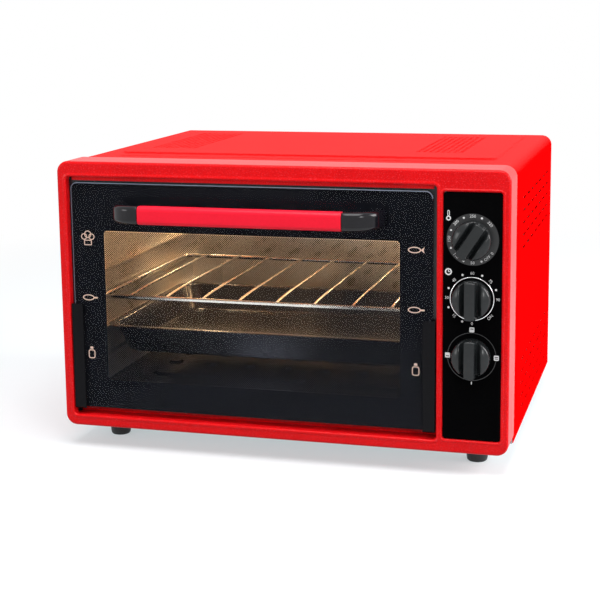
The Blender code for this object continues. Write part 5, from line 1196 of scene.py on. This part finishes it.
@dataclass
class Knob:
    """A round knob with a grip bar between two scooped grooves."""

    name: str
    body: Body
    z: float
    turn: float = 0.0
    x: float = 211.0
    radius: float = 20.0
    rear: float = 0.7
    front: float = -19.3
    grip: float = 5.2

    def drop(self, across: float, along: float) -> float:
        """Returns how far the face lies behind the grip bar's top at a place on it."""
        side = abs(across)
        reach = min(math.hypot(across, along) / self.radius, 1.0)
        wall = smoothstep(side, self.grip, self.grip + 1.2)
        crown = 0.8 * (along / self.radius) ** 2 + 0.35 * (side / self.grip) ** 2
        dome = 3.0 + 5.5 * reach ** 3
        groove = 6.8 * (1 - smoothstep(side, self.grip + 1.1, 12.5))
        rim = 1.2 * (1 - math.sqrt(max(0.0, 1 - smoothstep(reach, 0.93, 1.0) ** 2)))
        return crown * (1 - wall) + (dome + groove) * wall + rim

    def columns(self) -> list[float]:
        """Returns places across the face, dense at the grip bar's sides and at the rim."""
        half = [0, 2, 4, 4.8, 5.2, 5.5, 5.8, 6.1, 6.4, 7, 7.8, 8.7, 9.7, 10.7, 11.7, 12.7, 14, 15.3, 16.6, 17.7,
                18.6, 19.3, 19.75]
        return [-u for u in half[:0:-1]] + [float(u) for u in half]

    def build(self) -> None:
        """Makes the knob and fits it."""
        form = Form()
        cos, sin = math.cos(math.radians(self.turn)), math.sin(math.radians(self.turn))

        def spot(u: float, v: float, y: float) -> Point:
            """Returns a point of the turned knob."""
            return (self.x + u * cos + v * sin, y, self.z - u * sin + v * cos)

        grid = []
        shares = [math.sin(math.pi / 2 * s / 12) for s in range(-12, 13)]
        for u in self.columns():
            chord = math.sqrt(self.radius ** 2 - u * u)
            grid.append(form.ring(spot(u, t * chord, self.front + self.drop(u, t * chord)) for t in shares))
        for one, two in zip(grid, grid[1:]):
            form.bridge(one, two, closed=False)
        border = grid[0] + [c[-1] for c in grid[1:-1]] + grid[-1][::-1] + [c[0] for c in grid[-2:0:-1]]
        rings = [border]
        for grow, y in ((0.0, self.rear - 2.2), (0.0, self.rear - 0.4), (-0.4, self.rear)):
            points = []
            for i in border:
                px, _, pz = form.points[i]
                dx, dz = px - self.x, pz - self.z
                scale = (self.radius + grow) / math.hypot(dx, dz)
                points.append((self.x + dx * scale, y, self.z + dz * scale))
            rings.append(form.ring(points))
        for one, two in zip(rings, rings[1:]):
            form.bridge(one, two)
        form.faces.append(rings[-1][::-1])
        knob = form.made(f"{self.name}_knob_cap", KNOB_BLACK, 60)
        fitted(knob, self.body, KNOB_BLACK, f"{self.name}_knob")


@dataclass
class Mark:
    """A number or word on a dial: what it says, how far clockwise from the top, and whether it leans."""

    text: str
    turn: float
    upright: bool = False
    bottom_up: bool = False


@dataclass
class Dials:
    """The bright ring, the printed marks and the small signs on the control panel."""

    x: float = 211.0
    face: float = 1.2
    thermostat_z: float = 228.0
    timer_z: float = 166.5
    selector_z: float = 105.0
    text_size: float = 4.2

    def ring(self) -> None:
        """Makes the timer's bright ring."""
        form = Form()
        rings = []
        profile = [(21.8, 0.9), (21.8, -0.1), (22.0, -0.5), (22.45, -0.6), (22.9, -0.5), (23.1, -0.1), (23.1, 0.9)]
        for radius, y in profile + profile[:1]:
            rings.append([(x, y, z) for x, z in disc(self.x, self.timer_z, radius, 96)])
        form.loft(rings, caps=False)
        fitted(form.made("timer_bright_ring", CHROME, 60), Body.CASE, CHROME, "timer_ring")

    def disc(self, z: float, radius: float, inner: float, name: str) -> None:
        """Makes a flat printed disc round a knob."""
        form = Form()
        rings = []
        for size, y in ((inner, self.face - 0.01), (inner, self.face - 0.03), (radius, self.face - 0.03),
                        (radius, self.face - 0.01)):
            rings.append([(px, y, pz) for px, pz in disc(self.x, z, size, 72)])
        form.loft(rings + rings[:1], caps=False)
        fitted(form.made(name, DISC_GREY, 30), Body.CASE, DISC_GREY)

    def lettering(self, z: float, marks: Sequence[Mark], name: str, radius: float) -> bpy.types.Object:
        """Draws the numbers of a dial as flat faces.

        Args:
            z: the dial's height.
            marks: what it says.
            name: the piece's name.
            radius: how far the numbers stand from the middle.

        Returns:
            The piece, not yet fitted.
        """
        pieces = []
        for mark in marks:
            curve = bpy.data.curves.new(name, "FONT")
            curve.body, curve.size, curve.resolution_u = mark.text, self.text_size, 3
            curve.align_x, curve.align_y = "CENTER", "CENTER"
            curve.space_character = 1.05
            carrier = bpy.data.objects.new(name, curve)
            bpy.context.scene.collection.objects.link(carrier)
            graph = bpy.context.evaluated_depsgraph_get()
            mesh = bpy.data.meshes.new_from_object(carrier.evaluated_get(graph))
            bpy.data.objects.remove(carrier)
            turn = math.radians(mark.turn)
            lean = 0.0 if mark.upright else -turn + (math.pi if mark.bottom_up else 0.0)
            place = at(self.x + radius * math.sin(turn), self.face - 0.06, z + radius * math.cos(turn))
            mesh.transform(Matrix.Scale(MM, 4) @ Matrix.Translation(ORIGIN) @ place @ FRONT
                           @ Matrix.Rotation(lean, 4, "Z"))
            pieces.append(shown(mesh, name, PRINT_WHITE))
        return merged(pieces, name)

    def build(self, dots: Recipe) -> None:
        """Makes everything on the panel's face.

        Args:
            dots: the tree for dots on a circle.
        """
        self.ring()
        self.disc(self.thermostat_z, 27.0, 19.0, "thermostat_disc")
        heat = [Mark("250", 0), Mark("320", 47), Mark("0", 124, bottom_up=True), Mark("OFF", 141, bottom_up=True),
                Mark("50", 180, bottom_up=True), Mark("100", 225, bottom_up=True), Mark("150", 270),
                Mark("200", 315)]
        time = [Mark("60", 0), Mark("75", 45), Mark("90", 90, upright=True), Mark("ON", 135, bottom_up=True),
                Mark("0", 180, bottom_up=True), Mark("15", 225, bottom_up=True), Mark("30", 270, upright=True),
                Mark("45", 315)]
        fitted(self.lettering(self.thermostat_z, heat, "thermostat_numbers", 24.2), Body.CASE, PRINT_WHITE)
        fitted(self.lettering(self.timer_z, time, "timer_numbers", 26.5), Body.CASE, PRINT_WHITE)
        marks = []
        for z, radius, start in ((self.thermostat_z, 24.2, 67.5), (self.timer_z, 26.5, 22.5)):
            place = at(self.x, self.face - 0.06, z) @ FRONT
            marks.append(dots.run("dial_dots", PRINT_WHITE, place, Count=6, Circle=radius, Dot=1.15,
                                  Start=math.radians(start), Sweep=math.radians(225.0)))
        fitted(merged(marks, "dial_dots"), Body.CASE, PRINT_WHITE)
        self.disc(self.selector_z, 25.6, 24.9, "selector_ring")
        self.signs()

    def signs(self) -> None:
        """Prints the small signs: thermometer, clock, and the selector's four places."""
        x, heat, time, choice = self.x, self.thermostat_z, self.timer_z, self.selector_z
        drawing = Drawing(self.face - 0.06)
        drawing.shape(disc(x - 25.0, heat + 21.6, 2.5), disc(x - 25.0, heat + 21.6, 1.3))
        drawing.shape(rounded(x - 26.2, x - 23.8, heat + 23.9, heat + 30.0, 1.1, 4),
                      rounded(x - 25.5, x - 24.5, heat + 24.5, heat + 29.3, 0.4, 3))
        drawing.shape(disc(x - 24.8, time + 27.4, 3.7), disc(x - 24.8, time + 27.4, 2.3))
        for left, right, rise in ((-25.2, -24.4, 2.4), (-24.4, -22.9, 0.8)):
            low, high = time + 27.0, time + 27.0 + rise
            drawing.shape([(x + left, low), (x + right, low), (x + right, high), (x + left, high)])
        for dx, dz, bars in ((0.0, 28.6, (0.9,)), (-25.2, 0.6, (-0.9,)), (25.6, 0.0, (-0.9, 0.9))):
            holes = [rounded(x + dx - 1.7, x + dx + 1.7, choice + dz + b - 0.45, choice + dz + b + 0.45, 0.2, 2)
                     for b in bars]
            drawing.shape(rounded(x + dx - 2.6, x + dx + 2.6, choice + dz - 2.7, choice + dz + 2.7, 0.9, 4), *holes)
        drawing.shape(rounded(x - 0.5, x + 0.5, choice - 29.6, choice - 26.4, 0.3, 2))
        fitted(drawing.made("panel_signs", PRINT_WHITE), Body.CASE, PRINT_WHITE)


# Inside


@dataclass
class Rack:
    """The wire rack."""

    centre: tuple[float, float, float] = (-32.5, 174.0, 142.0)

    def build(self, recipe: Recipe) -> None:
        """Makes the rack from its tree."""
        sizes = {"Width": 369.6, "Depth": 267.6, "Corner": 12.0, "Frame Wire": 2.5, "Thin Wire": 1.45,
                 "Wires": 8, "Reach": 301.0, "Lift": 1.65, "Arch": 2.0}
        rack = recipe.run("rack_wires", RACK_STEEL, at(*self.centre), **sizes)
        shaded(rack, 50)
        fitted(rack, Body.RACK, RACK_STEEL, "wire_rack")


@dataclass
class Tray:
    """The deep baking tray with its rolled lip."""

    lip: tuple[float, float, float, float] = (-219.5, 154.5, 42.0, 306.0)
    top: float = 107.0
    bottom: float = 74.0
    wall: float = 1.0
    corner: float = 22.0

    def profile(self) -> list[tuple[float, float]]:
        """Returns the wall's section as inset from the lip's edge and height, round from outside to inside."""
        return [(0.0, 106.2), (0.0, 106.6), (0.3, 106.9), (0.8, 107.0), (6.5, 107.0), (8.4, 106.4), (9.4, 104.8),
                (17.4, 79.0), (18.4, 77.0), (20.2, 75.6), (22.6, 75.0), (22.6, 74.0), (19.6, 74.2), (17.6, 75.4),
                (16.3, 77.6), (8.3, 104.0), (7.6, 105.4), (6.2, 106.0), (0.6, 106.0)]

    def build(self) -> None:
        """Makes the tray as one closed body."""
        x0, x1, y0, y1 = self.lip
        form = Form()
        rings = []
        for inset, z in self.profile():
            outline = rounded(x0 + inset, x1 - inset, y0 + inset, y1 - inset, self.corner, 8)
            rings.append([(x, y, z) for x, y in outline])
        made = form.loft(rings, caps=False)
        form.bridge(made[-1], made[0])
        middle = made.index(made[10])
        floor = form.ring([(x, y, self.bottom + self.wall) for x, y, _ in rings[middle]])
        under = form.ring([(x, y, self.bottom) for x, y, _ in rings[middle + 1]])
        del form.faces[middle * len(floor):(middle + 1) * len(floor)]
        form.faces.append(floor)
        form.faces.append(under[::-1])
        fitted(form.made("tray_pressing", ENAMEL, 50), Body.TRAY, ENAMEL, "baking_tray")


@dataclass
class Studio:
    """The camera, the lamps, the pale floor and the white surroundings."""

    camera: tuple[float, float, float] = (0.429, -1.5954, 0.495)
    azimuth: float = 15.84
    elevation: float = 9.60
    roll: float = -0.67
    lens: float = 84.66
    lift: float = -0.1

    def place_camera(self) -> None:
        """Sets up the camera at the photograph's viewing angle."""
        data = bpy.data.cameras.new("camera")
        data.lens, data.sensor_width, data.shift_y = self.lens, 36.0, self.lift
        data.clip_start, data.clip_end = 0.05, 50.0
        camera = bpy.data.objects.new("camera", data)
        a, e = math.radians(self.azimuth), math.radians(self.elevation)
        ahead = Vector((-math.sin(a) * math.cos(e), math.cos(a) * math.cos(e), -math.sin(e)))
        turn = ahead.to_track_quat("-Z", "Y").to_matrix().to_4x4()
        camera.matrix_world = Matrix.Translation(self.camera) @ turn @ Matrix.Rotation(math.radians(self.roll), 4, "Z")
        bpy.context.scene.collection.objects.link(camera)
        bpy.context.scene.camera = camera

    def lamp(self, name: str, place: Point, target: Point, size: float, power: float,
             colour: tuple[float, float, float] = (1, 1, 1)) -> None:
        """Adds a square soft lamp.

        Args:
            name: the lamp's name.
            place: where it stands, in metres.
            target: what it faces.
            size: the side of its square.
            power: its power in watts.
            colour: its colour.
        """
        data = bpy.data.lights.new(name, "AREA")
        data.shape, data.size, data.energy, data.color = "SQUARE", size, power, colour
        lamp = bpy.data.objects.new(name, data)
        lamp.location = place
        lamp.rotation_mode = "QUATERNION"
        lamp.rotation_quaternion = (Vector(target) - Vector(place)).to_track_quat("-Z", "Y")
        bpy.context.scene.collection.objects.link(lamp)

    def glow(self, name: str, place: Point, radius: float, power: float,
             colour: tuple[float, float, float]) -> None:
        """Adds a small round lamp inside the oven, placed in the oven's own frame."""
        data = bpy.data.lights.new(name, "POINT")
        data.energy, data.color, data.shadow_soft_size = power, colour, radius
        lamp = bpy.data.objects.new(name, data)
        lamp.visible_camera = lamp.visible_transmission = False
        lamp.visible_glossy = radius < 0.02
        lamp.location = in_row(place)
        bpy.context.scene.collection.objects.link(lamp)

    @staticmethod
    def background_seen(w: Wiring, path: Any) -> bpy.types.NodeSocket:
        """Returns 1 for the rays that show the background: camera, glossy and transmission."""
        mirrored = w.math("MAXIMUM", path["Is Glossy Ray"], path["Is Transmission Ray"])
        return w.math("MAXIMUM", path["Is Camera Ray"], mirrored)

    def surround(self) -> None:
        """Makes the world white where it is seen, directly or mirrored, and soft grey as a light."""
        world = bpy.data.worlds.new("studio")
        world.use_nodes = True
        world.node_tree.nodes.clear()
        w = Wiring(world.node_tree)
        path = w.add("ShaderNodeLightPath").outputs
        place = w.add("ShaderNodeTexCoord").outputs["Generated"]
        apart = w.add("ShaderNodeSeparateXYZ", {0: place}).outputs
        low = w.ramp(apart[2], -0.2, 0.5, (0.30, 0.46))
        soft = w.add("ShaderNodeCombineColor", {0: low, 1: low, 2: low}).outputs[0]
        colour = w.blend(self.background_seen(w, path), soft, (1, 1, 1, 1))
        back = w.add("ShaderNodeBackground", {"Color": colour, "Strength": 1.0})
        w.add("ShaderNodeOutputWorld", {"Surface": back.outputs[0]})
        bpy.context.scene.world = world

    def floor(self) -> None:
        """Lays the white floor, which keeps the oven's shadow."""
        mesh = bpy.data.meshes.new("floor")
        mesh.from_pydata([(-8, -8, 0), (8, -8, 0), (8, 8, 0), (-8, 8, 0)], [], [(0, 1, 2, 3)])
        made = bpy.data.materials.new("floor_white")
        made.use_nodes = True
        made.node_tree.nodes.clear()
        w = Wiring(made.node_tree)
        path = w.add("ShaderNodeLightPath").outputs
        seen = self.background_seen(w, path)
        place = w.add("ShaderNodeTexCoord").outputs["Object"]
        away = w.add("ShaderNodeVectorMath", {0: place}, operation="LENGTH").outputs["Value"]
        far = w.ramp(away, 0.55, 1.5)
        base = w.blend(far, (0.56, 0.56, 0.57, 1), (0, 0, 0, 1))
        shader = w.add("ShaderNodeBsdfDiffuse", {"Color": w.blend(seen, (0.30, 0.30, 0.31, 1), base)})
        glow = w.blend(far, (0.40, 0.44, 0.45, 1), (1, 1, 1, 1))
        lift = w.add("ShaderNodeEmission", {"Color": glow, "Strength": seen})
        both = w.add("ShaderNodeAddShader", {0: shader.outputs[0], 1: lift.outputs[0]})
        w.add("ShaderNodeOutputMaterial", {"Surface": both.outputs[0]})
        mesh.materials.append(made)
        floor = bpy.data.objects.new("floor", mesh)
        bpy.context.scene.collection.objects.link(floor)

    def build(self) -> None:
        """Sets up everything round the oven."""
        self.place_camera()
        self.surround()
        self.floor()
        self.lamp("top_lamp", (0.1, -0.75, 1.9), (0, 0, 0.2), 1.3, 30)
        self.lamp("left_strip", (-1.7, -1.5, 0.55), (0, -0.1, 0.2), 0.7, 8)
        self.lamp("right_strip", (1.35, -1.75, 0.75), (0.1, -0.1, 0.2), 0.45, 9)
        self.lamp("side_lamp", (1.9, 0.1, 1.0), (0.2, 0, 0.15), 1.2, 42)
        self.glow("oven_lamp", (146, 250, 208), 0.012, 3.6, (1.0, 0.72, 0.42))
        self.glow("rear_glow", (-196, 330, 215), 0.010, 0.5, (1.0, 0.75, 0.45))
        self.glow("roof_glow_left", (-120, 190, 236), 0.03, 1.5, (1.0, 0.66, 0.36))
        self.glow("roof_glow_right", (60, 190, 236), 0.03, 1.5, (1.0, 0.66, 0.36))
        self.glow("front_glow", (-30, 30, 60), 0.03, 0.25, (0.85, 0.9, 1.0))


def set_view() -> None:
    """Shows colours as they are written."""
    bpy.context.scene.view_settings.view_transform = "Standard"


def dress_nodes(frame: dict) -> None:
    """Gives every CAD node the finish of its slot.

    Args:
        frame: what the frame's load returned.
    """
    slots = {part["node"]: part["material_slot"] for part in frame["record"]["subparts"]}
    for name, node in frame["nodes"].items():
        finish = HOT_SHEATH if name == "upper_heater" else SLOT_FINISHES[slots[name]]
        for place in node.material_slots:
            place.material = finish.material()
        if not node.material_slots:
            node.data.materials.append(finish.material())
    LOG.info("%d CAD nodes dressed", len(frame["nodes"]))


def main() -> None:
    """Builds the oven's looks in order."""
    logging.basicConfig(level=logging.INFO)
    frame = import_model()
    set_view()
    dress_nodes(frame)
    slots = capsule_field()
    FrontFrame().build()
    Shell().build(slots)
    Feet().build()
    door = Door()
    door.build_pane()
    door.build_print(dot_screen())
    door.build_signs()
    Handle().build()
    for knob in (Knob("thermostat", Body.THERMOSTAT, 228.0, 33.0), Knob("timer", Body.TIMER, 166.5),
                 Knob("selector", Body.SELECTOR, 105.0)):
        knob.build()
    Dials().build(dot_ring())
    Rack().build(grill())
    Tray().build()
    Studio().build()


if __name__ == "__main__":
    main()
